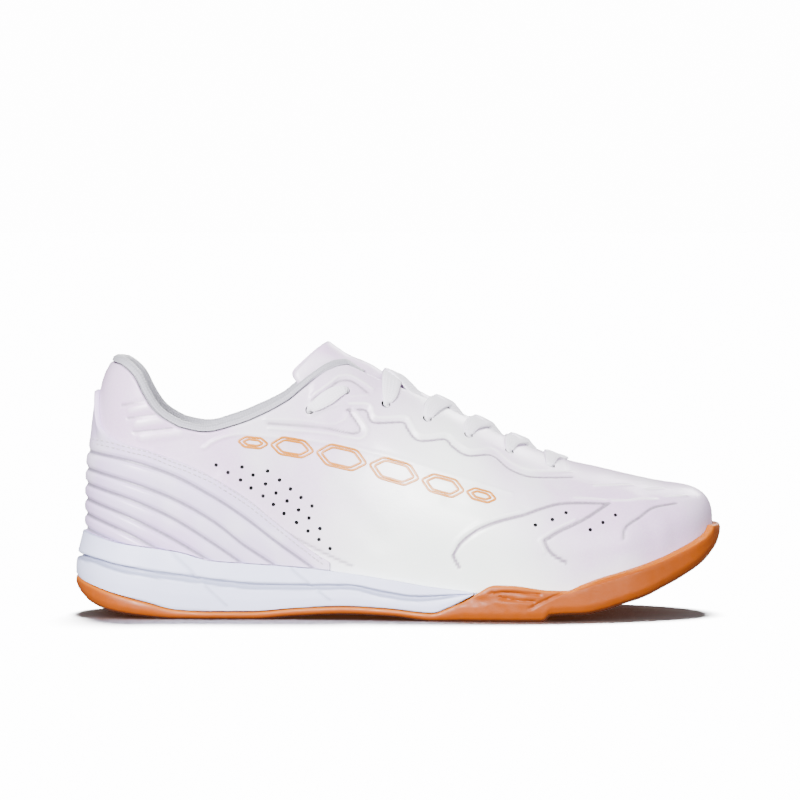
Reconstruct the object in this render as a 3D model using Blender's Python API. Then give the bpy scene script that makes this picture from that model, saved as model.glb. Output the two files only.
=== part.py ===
"""Indoor soccer shoe, right foot: outsole, midsole, hollow upper, overlays, tongue, laces.

Sizes are in millimetres and become metres when a mesh is made. X runs from the heel's
rear to the toe, the outer (lateral) side lies at -Y, and Z is up from the floor.
"""
import math

import bmesh
import bpy

MM = 0.001

# Driving sizes of the shoe
LENGTH = 280.0
HEEL_AXIS = 38.0        # upright axis that the heel's columns fan out from
TOE_START = 235.0       # where the outline begins to close round the toe
HEEL_FULLNESS = 2.25    # superellipse powers of the outline's two ends
TOE_FULLNESS = 2.2
WALL = 2.0              # thickness of the upper
GAP = 0.3               # clearance between pieces that touch
CAP_START = 258.0       # where the toe's ridge begins to drop
CAP_POWER = 3.0
CAP_POLE = 39.0         # height at which the toe closes
THROAT_END = 216.0
THROAT_START = 104.0
THROAT_CLOSED = 216.8   # first column whose two sides meet on the ridge
RIM_END = 171.5         # front end of the midsole's visible wall

# Steps of the mesh along the outline and up the wall
HEEL_STEPS = 8
SIDE_STEPS = 18
TOE_STEPS = 10
FOOT_ROWS = 3
ARC_ROWS = 8

LATERAL, MEDIAL = 0, 1
SIGN = (-1.0, 1.0)

# Outline of the sole seen from above: place, lateral edge, medial edge
OUTLINE = (
    (38.0, 32.5, 32.5),
    (62.0, 34.0, 33.0),
    (90.0, 34.0, 30.0),
    (120.0, 36.5, 28.5),
    (150.0, 42.5, 33.0),
    (178.0, 47.0, 42.0),
    (194.0, 48.0, 46.5),
    (212.0, 46.5, 48.0),
    (235.0, 40.5, 46.0),
    (258.0, 32.5, 43.0),
    (280.0, 28.0, 41.0),
)

# Middle line over the instep: place, sideways place, width of the rim round the upper
SPINE = (
    (0.0, 0.0, 5.6),
    (38.0, 0.0, 5.2),
    (100.0, 0.5, 4.4),
    (150.0, 3.5, 3.7),
    (200.0, 7.0, 3.5),
    (235.0, 8.0, 3.5),
    (280.0, 7.0, 3.5),
)

# Sections of the last: place, ridge height, power of the arch, share of straight wall
SECTIONS = (
    (38.0, 152.0, 2.20, 0.15),
    (60.0, 146.0, 2.15, 0.15),
    (80.0, 138.0, 2.10, 0.14),
    (100.0, 127.0, 2.05, 0.14),
    (108.0, 122.0, 2.05, 0.14),
    (115.0, 117.0, 2.00, 0.15),
    (124.0, 111.0, 2.00, 0.16),
    (134.0, 104.3, 2.00, 0.18),
    (152.0, 94.8, 2.00, 0.22),
    (170.0, 85.4, 2.00, 0.26),
    (188.0, 76.0, 2.05, 0.28),
    (206.0, 68.4, 2.10, 0.30),
    (216.0, 65.4, 2.15, 0.30),
    (226.0, 63.2, 2.20, 0.30),
    (239.0, 60.1, 2.25, 0.32),
    (251.0, 57.5, 2.35, 0.34),
    (258.0, 56.4, 2.40, 0.36),
    (280.0, 54.2, 2.40, 0.40),
)

# Back of the heel seen from the side: height, place of the upper's outer face
HEEL_BACK = (
    (0.0, 5.6),
    (40.0, 5.6),
    (62.0, 6.0),
    (80.0, 8.1),
    (90.0, 9.3),
    (97.7, 10.8),
    (103.7, 12.5),
    (108.5, 14.9),
    (116.0, 18.6),
)

# Collar line: place, height of the shell's edge
COLLAR = (
    (15.0, 108.6),
    (18.5, 108.0),
    (22.5, 105.8),
    (26.0, 102.4),
    (30.0, 95.2),
    (34.7, 88.5),
    (39.5, 84.6),
    (46.9, 80.9),
    (56.9, 79.2),
    (71.2, 82.6),
    (82.0, 87.0),
    (92.4, 92.6),
    (99.0, 98.0),
    (104.6, 102.4),
    (110.2, 105.9),
    (117.0, 108.0),
    (126.0, 109.0),
    (150.0, 160.0),
)

# Throat: place, half of its width
THROAT = (
    (100.0, 14.0),
    (124.0, 13.0),
    (140.0, 11.0),
    (170.0, 9.0),
    (195.0, 8.0),
    (206.0, 6.6),
    (212.0, 4.4),
    (216.0, 0.0),
)

# Sole seen from the side: place, underside, top of the outsole's side, bed of the outsole,
# top of the midsole's side, footbed
SOLE = (
    (0.0, 12.0, 16.9, 16.9, 36.0, 19.0),
    (2.5, 9.5, 15.6, 15.6, 35.5, 19.0),
    (7.0, 6.1, 13.8, 13.8, 34.6, 19.0),
    (17.0, 2.7, 10.6, 10.6, 32.4, 19.0),
    (31.0, 0.9, 7.2, 7.2, 30.6, 19.0),
    (45.0, 0.0, 3.9, 3.9, 28.6, 18.8),
    (60.0, 0.0, 3.2, 3.2, 24.8, 18.2),
    (76.0, 0.0, 3.2, 3.2, 23.7, 17.4),
    (97.0, 1.3, 4.8, 4.8, 22.2, 16.0),
    (117.0, 2.2, 5.7, 5.7, 20.0, 14.4),
    (136.0, 1.7, 4.9, 4.9, 17.3, 12.9),
    (154.0, 0.0, 3.4, 3.4, 14.6, 12.1),
    (161.0, 0.0, 5.8, 3.6, 13.8, 12.0),
    (171.5, 0.0, 11.2, 3.8, 12.6, 12.0),
    (181.0, 0.0, 15.7, 4.0, 11.6, 11.6),
    (189.0, 0.0, 15.5, 4.0, 11.2, 11.2),
    (201.5, 0.0, 13.8, 4.2, 11.0, 11.0),
    (204.5, 2.4, 13.5, 5.0, 11.1, 11.1),
    (212.0, 2.8, 13.3, 5.8, 11.6, 11.6),
    (219.0, 2.9, 15.8, 6.6, 12.6, 12.6),
    (227.4, 4.3, 18.6, 8.1, 14.2, 14.2),
    (236.0, 6.9, 20.9, 10.6, 16.4, 16.4),
    (245.0, 9.5, 23.3, 13.4, 19.0, 19.0),
    (254.0, 13.5, 26.2, 17.2, 22.4, 22.4),
    (262.0, 17.4, 29.4, 21.0, 26.0, 26.0),
    (270.0, 22.0, 33.0, 25.4, 30.0, 30.0),
    (275.0, 26.0, 36.0, 28.4, 32.8, 32.8),
    (277.6, 28.6, 40.4, 29.4, 34.0, 34.0),
    (280.0, 33.0, 43.4, 30.4, 35.0, 35.0),
)
UNDER, SOLE_TOP, BED, RIM_TOP, FOOTBED = 1, 2, 3, 4, 5

# Sunk band in the midsole's side: place, upper edge, lower edge
BAND = (
    (0.0, 27.0, 24.4),
    (8.0, 25.8, 23.6),
    (19.0, 23.4, 20.6),
    (34.0, 20.9, 18.2),
    (49.5, 19.0, 16.4),
    (66.8, 16.7, 14.3),
    (80.0, 15.5, 13.1),
    (100.0, 15.2, 13.0),
    (118.0, 15.2, 13.4),
    (133.0, 12.7, 10.4),
    (147.0, 10.9, 8.8),
    (171.5, 12.2, 12.0),
)
BAND_DEPTH = 1.2
BAND_NOTCH = 0.5        # height of the band's sloping edges
FOAM_OVER = -0.8        # foam above and below the band, behind the outline
FOAM_UNDER = -0.4
FOAM_FOOT = -0.2
LIP = 2.2               # thickness of the foam's rim

# Side of the outsole: its tallest step, and shares of that step
GUM_STEP = 9.0
GUM_TURN = 0.14         # where the underside has turned up
GUM_SIDE = 0.42         # where the side stands upright
GUM_SHOULDER = 0.24     # how far under the top it bends in again
GUM_SOLE = -10.0        # offsets from the outline, the last at the top edge
GUM_BEVEL = -3.5
GUM_CORNER = -1.0
GUM_TOP = -0.5

# Top edge of the heel counter: place, height
COUNTER_TOP = (
    (8.0, 97.0),
    (9.4, 89.5),
    (11.0, 83.3),
    (13.5, 79.9),
    (23.4, 74.8),
    (32.0, 72.5),
    (40.8, 69.4),
    (49.5, 66.2),
    (58.2, 62.0),
    (66.8, 56.9),
    (75.5, 51.2),
    (84.2, 43.8),
    (92.9, 36.9),
    (101.6, 29.9),
    (112.0, 23.4),
)
COUNTER_END = 110.0
RIB_HALF = 1.3          # half of a groove's width on the counter
RIB_CREST = 1.6         # heights over the upper's face
RIB_VALLEY = 0.9
RIB_FOOT = 1.3
RIB_UPPER = 1.5
RIB_EDGE = 1.1
EDGE_BEVEL = 0.8        # height of the bevel at the counter's top edge
COUNTER_BACK = 2.4      # how far ahead of the foot the heel's rear reads the tables
COUNTER_FOOT = 0.5      # clearance over the midsole's rim
COUNTER_ROWS = 3        # rows of faces between the top groove and the counter's edge

# Grooves between the counter's ribs: place, heights of the six grooves
GROOVES = (
    (6.0, 71.2, 63.9, 57.4, 51.0, 44.6, 38.4),
    (23.4, 68.0, 59.0, 51.8, 44.2, 37.0, 30.6),
    (40.8, 62.5, 52.5, 44.2, 35.4, 27.6, 22.0),
    (60.3, 52.5, 42.0, 32.4, 24.0, 18.0, 14.0),
    (73.3, 43.8, 31.7, 23.4, 16.0, 12.0, 8.0),
    (86.4, 33.8, 23.2, 15.0, 10.0, 6.0, 2.0),
    (110.0, 17.0, 8.0, 4.0, 2.0, 0.0, -2.0),
)

# Lower edge of the eyestay: place, height
EYESTAY_EDGE = (
    (100.0, 86.0),
    (118.5, 91.6),
    (127.0, 92.0),
    (130.5, 86.6),
    (142.4, 86.4),
    (149.3, 79.0),
    (161.0, 79.0),
    (169.5, 72.6),
    (181.0, 72.2),
    (188.5, 66.6),
    (200.0, 62.6),
    (214.0, 62.4),
)
EYESTAY_START = 106.0
EYESTAY_END = 211.0
EYESTAY_THICK = 0.8
EYESTAY_LIFT = 0.45     # clearance over the upper
EYESTAY_ROWS = 5
EYESTAY_INSET = math.radians(2.0)

# Padded roll of the collar in section: depth behind the shell's face, height over its edge
ROLL = (
    (3.0, -26.0),
    (3.0, -14.0),
    (3.0, 0.5),
    (1.0, 1.3),
    (1.5, 2.9),
    (3.4, 3.8),
    (5.6, 3.2),
    (7.0, 1.0),
    (7.2, -5.0),
    (6.0, -14.0),
    (3.8, -26.0),
)
ROLL_END = 115.5
ROLL_TAPER = 96.0       # where the roll begins to grow thinner towards the throat
ROLL_THINNER = 0.6      # share of its thickness and of its height lost at the front
ROLL_LOWER = 0.5

# Tongue: place, arc angle of its edge in degrees, depth at its edge, depth at its middle,
# thickness
TONGUE = (
    (92.0, 47.0, 11.0, 11.0, 3.0),
    (108.0, 53.0, 9.5, 2.7, 4.0),
    (116.0, 52.0, 7.5, 2.7, 4.6),
    (127.0, 50.0, 2.7, 2.7, 4.6),
    (170.0, 52.0, 2.7, 2.7, 4.0),
    (224.0, 62.0, 2.7, 2.7, 2.2),
)
TONGUE_TIP = 108.0
TONGUE_BACK = 93.0      # where the tongue's two upper corners lie
TONGUE_END = 224.0
TONGUE_STEPS = 14
TONGUE_ACROSS = 5
TONGUE_CURVE = 1.8      # powers of its end's curve and of its edges' drop, and edge thinning
TONGUE_DROP = 1.2
TONGUE_THINNER = 0.4

INSOLE_THICK = 3.5
INSOLE_INSET = 1.2      # clearance inside the upper's wall

# Crossings of the lace: place of its eyelets, height of its ends, how far the crossing
# leans forward
LACE_BARS = (
    (134.3, 91.6, 4.0),
    (152.3, 84.6, 8.0),
    (170.1, 77.2, 8.0),
    (187.9, 70.2, 6.5),
    (205.0, 63.8, 5.0),
)
LACE_WIDTH = 8.0
LACE_THICK = 1.8
LACE_STEPS = 5

# Ends of the lace's run between the two top eyelets of a side: place, height
LACE_RUN = (
    (103.0, 90.6),
    (116.7, 98.1),
)

MATERIALS = {
    # name: (red, green, blue, roughness)
    "gum_rubber": (0.60, 0.20, 0.04, 0.50),
    "white_foam": (0.78, 0.80, 0.88, 0.55),
    "pearl_synthetic": (0.80, 0.76, 0.82, 0.32),
    "grey_lining": (0.48, 0.48, 0.50, 0.75),
    "white_lace": (0.84, 0.83, 0.86, 0.85),
}


def read(table, column, x):
    """Value of one column at a place, on a smooth curve that keeps the rows' highs and lows."""
    if x <= table[0][0]:
        return table[0][column]
    if x >= table[-1][0]:
        return table[-1][column]
    k = 0
    while table[k + 1][0] < x:
        k += 1

    def slope(i):
        return (table[i + 1][column] - table[i][column]) / (table[i + 1][0] - table[i][0])

    def tangent(i):
        if i == 0:
            return slope(0)
        if i == len(table) - 1:
            return slope(i - 1)
        before, after = slope(i - 1), slope(i)
        if before * after <= 0.0:
            return 0.0
        return 2.0 * before * after / (before + after)

    width = table[k + 1][0] - table[k][0]
    t = (x - table[k][0]) / width
    start, end = table[k][column], table[k + 1][column]
    return (
        start * (1 + 2 * t) * (1 - t) ** 2
        + tangent(k) * width * t * (1 - t) ** 2
        + end * t * t * (3 - 2 * t)
        + tangent(k + 1) * width * t * t * (t - 1)
    )


def closing(x, start, end, power):
    """Share of the full size left at a place, falling to nothing along a superellipse."""
    share = min(1.0, max(0.0, (x - start) / (end - start)))
    return (1.0 - share ** power) ** (1.0 / power)


def edge_point(side, u):
    """Point of the sole's outline: u is 0 to 1 round the heel, to 2 along, to 3 round the toe."""
    if u <= 1.0:
        angle = u * math.pi / 2
        power = 2.0 / HEEL_FULLNESS
        x = HEEL_AXIS * (1.0 - max(0.0, math.cos(angle)) ** power)
        half = read(OUTLINE, side + 1, HEEL_AXIS) * math.sin(angle) ** power
        return x, SIGN[side] * half
    if u <= 2.0:
        x = HEEL_AXIS + (u - 1.0) * (TOE_START - HEEL_AXIS)
    else:
        x = TOE_START + (LENGTH - TOE_START) * math.sin((u - 2.0) * math.pi / 2)
    middle = read(SPINE, 1, x)
    full = SIGN[side] * read(OUTLINE, side + 1, x) - middle
    return x, middle + full * closing(x, TOE_START, LENGTH, TOE_FULLNESS)


def station(x):
    """The outline's parameter at a place along the shoe."""
    if x <= TOE_START:
        return 1.0 + (x - HEEL_AXIS) / (TOE_START - HEEL_AXIS)
    return 2.0 + math.asin((x - TOE_START) / (LENGTH - TOE_START)) * 2.0 / math.pi


class Column:
    """One upright slice of the shoe's side: its outline point, its normal and its section."""

    def __init__(self, side, u):
        self.side = side
        self.u = u
        self.fan = u < 1.0
        self.x, self.y = edge_point(side, u)
        self.normal = self.facing(side)
        self.rim = read(SPINE, 2, self.x)
        self.plain_foot = self.foot(0.0)
        self.plain_centre = self.centre(0.0)
        self.place = self.plain_centre[0] if not self.fan else HEEL_AXIS

    def facing(self, side):
        if self.u <= 0.0:
            return -1.0, 0.0
        if self.u >= 3.0:
            return 1.0, 0.0
        step = 1e-3
        a = edge_point(side, max(0.0, self.u - step))
        b = edge_point(side, min(3.0, self.u + step))
        along = math.hypot(b[0] - a[0], b[1] - a[1])
        return (
            -SIGN[side] * (b[1] - a[1]) / along,
            SIGN[side] * (b[0] - a[0]) / along,
        )

    def out(self, offset, z):
        """Point beside the outline, offset outwards, at a height."""
        return self.x + offset * self.normal[0], self.y + offset * self.normal[1], z

    def foot(self, depth):
        """Where the upper's wall meets the sole, a depth behind its outer face."""
        reach = -(self.rim + depth)
        return self.x + reach * self.normal[0], self.y + reach * self.normal[1]

    def centre(self, depth):
        """Middle that the section's arch runs to."""
        if self.fan:
            return HEEL_AXIS, 0.0
        other = 1 - self.side
        across = edge_point(other, self.u)
        other_reach = -(self.rim + depth) * self.facing(other)[0]
        x = (self.foot(depth)[0] + across[0] + other_reach) / 2
        return x, read(SPINE, 1, x)

    def levels(self, depth):
        """Foot height, height where the arch begins, ridge height and the arch's power."""
        place = self.place
        tip = LENGTH - read(SPINE, 2, LENGTH)
        ridge = read(SECTIONS, 1, place)
        if place > CAP_START:
            ridge = CAP_POLE + (ridge - CAP_POLE) * closing(place, CAP_START, tip, CAP_POWER)
        ridge = max(ridge, CAP_POLE)
        low = read(SOLE, FOOTBED, self.plain_foot[0]) + GAP
        start = low + read(SECTIONS, 3, place) * (ridge - low)
        return low, start, ridge - depth, read(SECTIONS, 2, place)

    def share(self, z, depth):
        """How much of the half width is left at a height."""
        low, start, ridge, power = self.levels(depth)
        if z <= start:
            return 1.0
        rise = min(1.0, (z - start) / (ridge - start))
        return (1.0 - rise ** power) ** (1.0 / power)

    def at(self, z, depth=0.0):
        """Point of the wall at a height, a depth behind the outer face."""
        return self.lay(self.share(z, depth), z, depth)

    def lay(self, share, z, depth):
        if self.fan:
            back = (HEEL_AXIS - read(HEEL_BACK, 1, z)) / (HEEL_AXIS - HEEL_BACK[0][1])
            turn = math.sin(self.u * math.pi / 2) ** 2
            share = share * turn + back * (1.0 - turn)
            x = HEEL_AXIS + (self.plain_foot[0] - HEEL_AXIS) * share - depth * self.normal[0]
            y = self.plain_foot[1] * share - depth * self.normal[1]
            return x, y, z
        middle, foot = self.centre(depth), self.foot(depth)
        return (
            middle[0] + (foot[0] - middle[0]) * share,
            middle[1] + (foot[1] - middle[1]) * share,
            z,
        )

    def arc(self, angle, depth=0.0):
        """Point of the arch at an angle, 0 where it leaves the wall and 90 degrees on top."""
        low, start, ridge, power = self.levels(depth)
        z = start + (ridge - start) * math.sin(angle) ** (2.0 / power)
        share = max(0.0, math.cos(angle)) ** (2.0 / power)
        return self.lay(share, z, depth)

    def angle_at(self, z, depth=0.0):
        low, start, ridge, power = self.levels(depth)
        rise = min(1.0, max(0.0, (z - start) / (ridge - start)))
        return math.asin(rise ** (power / 2.0))

    def collar_place(self):
        """Place along the shoe at which a heel column crosses the collar line."""
        if not self.fan:
            return self.place
        place = self.x + 10.0
        for _ in range(12):
            place = self.at(read(COLLAR, 1, place))[0]
        return place

    def top_angle(self, depth=0.0):
        """Arc angle of the collar or throat edge."""
        collar = self.angle_at(read(COLLAR, 1, self.collar_place()), depth)
        if self.place >= THROAT_END:
            return math.pi / 2
        middle, foot = self.centre(depth), self.foot(depth)
        half = math.hypot(foot[0] - middle[0], foot[1] - middle[1])
        if self.place < THROAT_START:
            return collar
        share = min(1.0, read(THROAT, 1, self.place) / half)
        power = self.levels(depth)[3]
        return min(collar, math.acos(share ** (power / 2.0)))


def steps():
    """The outline's parameters of the mesh's columns, heel to toe."""
    heel = [i / HEEL_STEPS for i in range(HEEL_STEPS)]
    along = [1.0 + i / SIDE_STEPS for i in range(SIDE_STEPS)]
    toe = [2.0 + i / TOE_STEPS for i in range(TOE_STEPS + 1)]
    marks = heel + along + toe
    for x in (RIM_END, THROAT_CLOSED):
        exact = station(x)
        nearest = min(range(len(marks)), key=lambda i: abs(marks[i] - exact))
        marks[nearest] = exact
    return marks


MARKS = steps()
COLUMNS = [[Column(side, u) for u in MARKS] for side in (LATERAL, MEDIAL)]


class Skin:
    """Mesh of one piece. Corners that fall together are one vertex."""

    def __init__(self):
        self.mesh = bmesh.new()
        self.known = {}

    def corner(self, point):
        key = tuple(round(c, 3) for c in point)
        if key not in self.known:
            x, y, z = point
            self.known[key] = self.mesh.verts.new(((x - LENGTH / 2) * MM, y * MM, z * MM))
        return self.known[key]

    def face(self, points):
        corners = []
        for point in points:
            vertex = self.corner(point)
            if vertex not in corners:
                corners.append(vertex)
        if len(corners) > 2:
            self.mesh.faces.new(corners)

    def strip(self, first, second):
        for i in range(len(first) - 1):
            self.face((first[i], first[i + 1], second[i + 1], second[i]))

    def grid(self, lines):
        for first, second in zip(lines, lines[1:]):
            self.strip(first, second)

    def plate(self, outer, inner):
        """Close two grids of the same border into one solid."""
        self.grid(outer)
        self.grid(inner)
        self.strip(outer[0], inner[0])
        self.strip(outer[-1], inner[-1])
        self.strip([line[0] for line in outer], [line[0] for line in inner])
        self.strip([line[-1] for line in outer], [line[-1] for line in inner])

    def finish(self, name, material):
        bmesh.ops.recalc_face_normals(self.mesh, faces=self.mesh.faces)
        bmesh.ops.triangulate(self.mesh, faces=self.mesh.faces, quad_method="FIXED")
        mesh = bpy.data.meshes.new(name)
        self.mesh.to_mesh(mesh)
        self.mesh.free()
        mesh.shade_smooth()
        mesh.set_sharp_from_angle(angle=math.radians(40))
        mesh.materials.append(material)
        piece = bpy.data.objects.new(name, mesh)
        bpy.context.scene.collection.objects.link(piece)
        return piece


def make_material(name):
    red, green, blue, roughness = MATERIALS[name]
    material = bpy.data.materials.new(name)
    material.use_nodes = True
    shader = material.node_tree.nodes["Principled BSDF"]
    shader.inputs["Base Color"].default_value = (red, green, blue, 1.0)
    shader.inputs["Roughness"].default_value = roughness
    shader.inputs["Metallic"].default_value = 0.0
    material.diffuse_color = (red, green, blue, 1.0)
    return material


def near_columns(side, end):
    """Columns of one side from the heel to a place."""
    return [c for c in COLUMNS[side] if c.fan or c.place < end]


def round_heel(side_lines):
    """One chain of lines from the lateral end round the heel to the medial end."""
    lateral, medial = side_lines
    return lateral[::-1] + medial[1:]


def wall_line(column, depth):
    """The upper's wall from its foot to its top edge."""
    low, start = column.levels(depth)[:2]
    rows = [low + (start - low) * k / FOOT_ROWS for k in range(FOOT_ROWS + 1)]
    top = column.top_angle(depth)
    line = [column.at(z, depth) for z in rows]
    return line + [column.arc(top * k / ARC_ROWS, depth) for k in range(1, ARC_ROWS + 1)]


def make_upper(material):
    """Hollow shell, open underneath, at the collar and along the throat."""
    skin = Skin()
    for columns in COLUMNS:
        outer = [wall_line(c, 0.0) for c in columns]
        inner = [wall_line(c, WALL) for c in columns]
        skin.grid(outer)
        skin.grid(inner)
        skin.strip([line[0] for line in outer], [line[0] for line in inner])
        for i, column in enumerate(columns[:-1]):
            if column.place < THROAT_END:
                skin.face((outer[i][-1], outer[i + 1][-1], inner[i + 1][-1], inner[i][-1]))
    return skin.finish("upper", material)


def level_point(column, offset, layer, lift=0.0):
    """Point beside the outline on one of the sole's layers."""
    x, y, _ = column.out(offset, 0.0)
    return x, y, read(SOLE, layer, x) + lift


def midsole_line(column):
    """Side of the midsole in section, from the footbed over the rim to the outsole's bed."""
    wall = -column.rim
    inside = wall + GAP
    rim = read(SOLE, RIM_TOP, column.x)
    seat = read(SOLE, SOLE_TOP, column.x) + GAP
    high, low = read(BAND, 1, column.x), read(BAND, 2, column.x)
    lip = inside + LIP
    notch = min(BAND_NOTCH, (high - low) / 4)
    return [
        level_point(column, wall, FOOTBED),
        level_point(column, inside, FOOTBED),
        column.out(inside, rim),
        column.out(lip, rim),
        column.out((lip + FOAM_OVER) / 2, (high + rim) / 2),
        column.out(FOAM_OVER, high),
        column.out(FOAM_OVER - BAND_DEPTH, high - notch),
        column.out(FOAM_UNDER - BAND_DEPTH, low + notch),
        column.out(FOAM_UNDER, low),
        column.out(0.0, (low + seat) / 2),
        column.out(FOAM_FOOT, seat),
        column.out(wall, seat),
        level_point(column, wall, BED, GAP),
    ]


def make_midsole(material):
    """Foam sole: a visible wall round heel and waist, and a flat pad inside the front cup."""
    skin = Skin()
    caps = {0: [], -1: []}
    for columns in COLUMNS:
        lines = [midsole_line(c) for c in columns]
        last = MARKS.index(station(RIM_END))
        skin.grid(lines[: last + 1])
        skin.face(lines[last])
        skin.grid([[line[0], line[-1]] for line in lines[last:]])
        for end in caps:
            caps[end].append([line[end] for line in lines])
    for lateral, medial in caps.values():
        skin.strip(lateral, medial)
    return skin.finish("midsole", material)


def outsole_line(column):
    """Side of the outsole in section, from its underside over the rim to its bed."""
    inside = -column.rim + GAP
    under = read(SOLE, UNDER, column.x)
    top = read(SOLE, SOLE_TOP, column.x)
    step = min(top - under, GUM_STEP)
    return [
        level_point(column, GUM_SOLE, UNDER),
        level_point(column, GUM_BEVEL, UNDER),
        level_point(column, GUM_CORNER, UNDER, GUM_TURN * step),
        column.out(0.0, under + GUM_SIDE * step),
        column.out(0.0, top - GUM_SHOULDER * step),
        column.out(GUM_TOP, top),
        column.out(inside, top),
        level_point(column, inside, BED),
    ]


def make_outsole(material):
    """Gum sole with a cup wall round the forefoot and a raised bumper at the toe."""
    skin = Skin()
    lines = [[outsole_line(c) for c in columns] for columns in COLUMNS]
    for side in lines:
        skin.grid(side)
    for end in (0, -1):
        skin.strip([line[end] for line in lines[0]], [line[end] for line in lines[1]])
    return skin.finish("outsole", material)


def make_insole(material):
    """Thin footbed that lies on the midsole inside the upper."""
    skin = Skin()
    levels = {GAP: [], GAP + INSOLE_THICK: []}
    for columns in COLUMNS:
        for lift, sides in levels.items():
            reach = [-(c.rim + WALL + INSOLE_INSET) for c in columns]
            sides.append([level_point(c, r, FOOTBED, lift) for c, r in zip(columns, reach)])
    bottom, top = levels.values()
    for side in (LATERAL, MEDIAL):
        skin.strip(bottom[side], top[side])
    skin.strip(*bottom)
    skin.strip(*top)
    return skin.finish("insole", material)


def roll_line(column):
    """Section of the collar's padded roll, thinner towards the throat."""
    place = column.collar_place()
    taper = max(0.0, (place - ROLL_TAPER) / (ROLL_END - ROLL_TAPER))
    edge = read(COLLAR, 1, place)
    line = []
    for depth, height in ROLL:
        if depth > ROLL[0][0]:
            depth = ROLL[0][0] + (depth - ROLL[0][0]) * (1.0 - ROLL_THINNER * taper)
        height *= 1.0 - ROLL_LOWER * taper
        x, y, z = column.at(edge + min(height, 0.0), depth)
        line.append((x, y, z + max(height, 0.0)))
    return line


def make_roll(material):
    """Padded lining round the collar, which stands above the shell's edge."""
    skin = Skin()
    sides = [[roll_line(c) for c in near_columns(side, ROLL_END)] for side in (0, 1)]
    lines = round_heel(sides)
    skin.grid([line + line[:1] for line in lines])
    skin.face(lines[0])
    skin.face(lines[-1])
    return skin.finish("collar_lining", material)


def counter_lines(column):
    """Outer and inner face of the ribbed counter at one column, bottom to top."""
    x = column.place
    if column.fan:
        x = column.plain_foot[0] + COUNTER_BACK * (1.0 - column.u)
    low = read(SOLE, RIM_TOP, column.x) + COUNTER_FOOT
    top = read(COUNTER_TOP, 1, x)
    outer, inner = [column.at(low, -RIB_FOOT)], [column.at(low, -GAP)]

    def add(z, depth):
        if z <= low:
            outer.append(outer[0])
        else:
            outer.append(column.at(z, depth))

    for groove in range(len(GROOVES[0]) - 1, 0, -1):
        z = read(GROOVES, groove, x)
        add(z - RIB_HALF, -RIB_CREST)
        add(z, -RIB_VALLEY)
        add(z + RIB_HALF, -RIB_CREST)
        inner.append(column.at(max(z, low), -GAP))
    crest = max(low, read(GROOVES, 1, x) + RIB_HALF)
    for k in range(1, COUNTER_ROWS):
        z = crest + (top - EDGE_BEVEL - crest) * k / COUNTER_ROWS
        add(z, -RIB_UPPER)
        inner.append(column.at(z, -GAP))
    add(top - EDGE_BEVEL, -RIB_UPPER)
    add(top, -RIB_EDGE)
    inner.append(column.at(top, -GAP))
    return outer, inner


def make_counter(material):
    """Moulded overlay round the heel with fanning ribs and a point at the back."""
    skin = Skin()
    sides = []
    for side in (LATERAL, MEDIAL):
        columns = near_columns(side, COUNTER_END - 4.0) + [Column(side, station(COUNTER_END))]
        sides.append([counter_lines(c) for c in columns])
    pairs = round_heel(sides)
    outer = [pair[0] for pair in pairs]
    inner = [pair[1] for pair in pairs]
    skin.grid(outer)
    skin.grid(inner)
    for end in (0, -1):
        skin.strip([line[end] for line in outer], [line[end] for line in inner])
        skin.face(outer[end] + inner[end][::-1])
    return skin.finish("heel_counter", material)


def make_eyestay(side, material):
    """Overlay beside the throat that carries the eyelets, with a stepped lower edge."""
    skin = Skin()
    places = [EYESTAY_START]
    places += [row[0] for row in EYESTAY_EDGE if EYESTAY_START < row[0] < EYESTAY_END]
    places += [c.place for c in COLUMNS[side] if EYESTAY_START + 3 < c.place < EYESTAY_END - 3]
    places = sorted(places + [EYESTAY_END])
    outer, inner = [], []
    for place in places:
        column = Column(side, station(place))
        foot = column.angle_at(read(EYESTAY_EDGE, 1, place))
        head = column.top_angle() - EYESTAY_INSET
        angles = [foot + (head - foot) * k / EYESTAY_ROWS for k in range(EYESTAY_ROWS + 1)]
        outer.append([column.arc(a, -EYESTAY_LIFT - EYESTAY_THICK) for a in angles])
        inner.append([column.arc(a, -EYESTAY_LIFT) for a in angles])
    skin.plate(outer, inner)
    return skin.finish("eyestay_" + ("lateral", "medial")[side], material)


def make_tongue(material):
    """Padded tongue under the throat, with a rounded tip above the collar."""
    skin = Skin()
    outer, inner = [], []
    for k in range(-TONGUE_ACROSS, TONGUE_ACROSS + 1):
        away = abs(k) / TONGUE_ACROSS
        side = LATERAL if k < 0 else MEDIAL
        start = TONGUE_TIP - (TONGUE_TIP - TONGUE_BACK) * away ** TONGUE_CURVE
        faces = [[], []]
        for step in range(TONGUE_STEPS + 1):
            place = start + (TONGUE_END - start) * step / TONGUE_STEPS
            column = Column(side, station(place))
            edge, deep, shallow, thick = (read(TONGUE, i, place) for i in range(1, 5))
            angle = math.radians(90.0 - (90.0 - edge) * away)
            depth = shallow + (deep - shallow) * away ** TONGUE_DROP
            thin = thick * (1.0 - TONGUE_THINNER * away ** 2)
            faces[0].append(column.arc(angle, depth))
            faces[1].append(column.arc(angle, depth + thin))
        outer.append(faces[0])
        inner.append(faces[1])
    skin.plate(outer, inner)
    return skin.finish("tongue", material)


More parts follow.
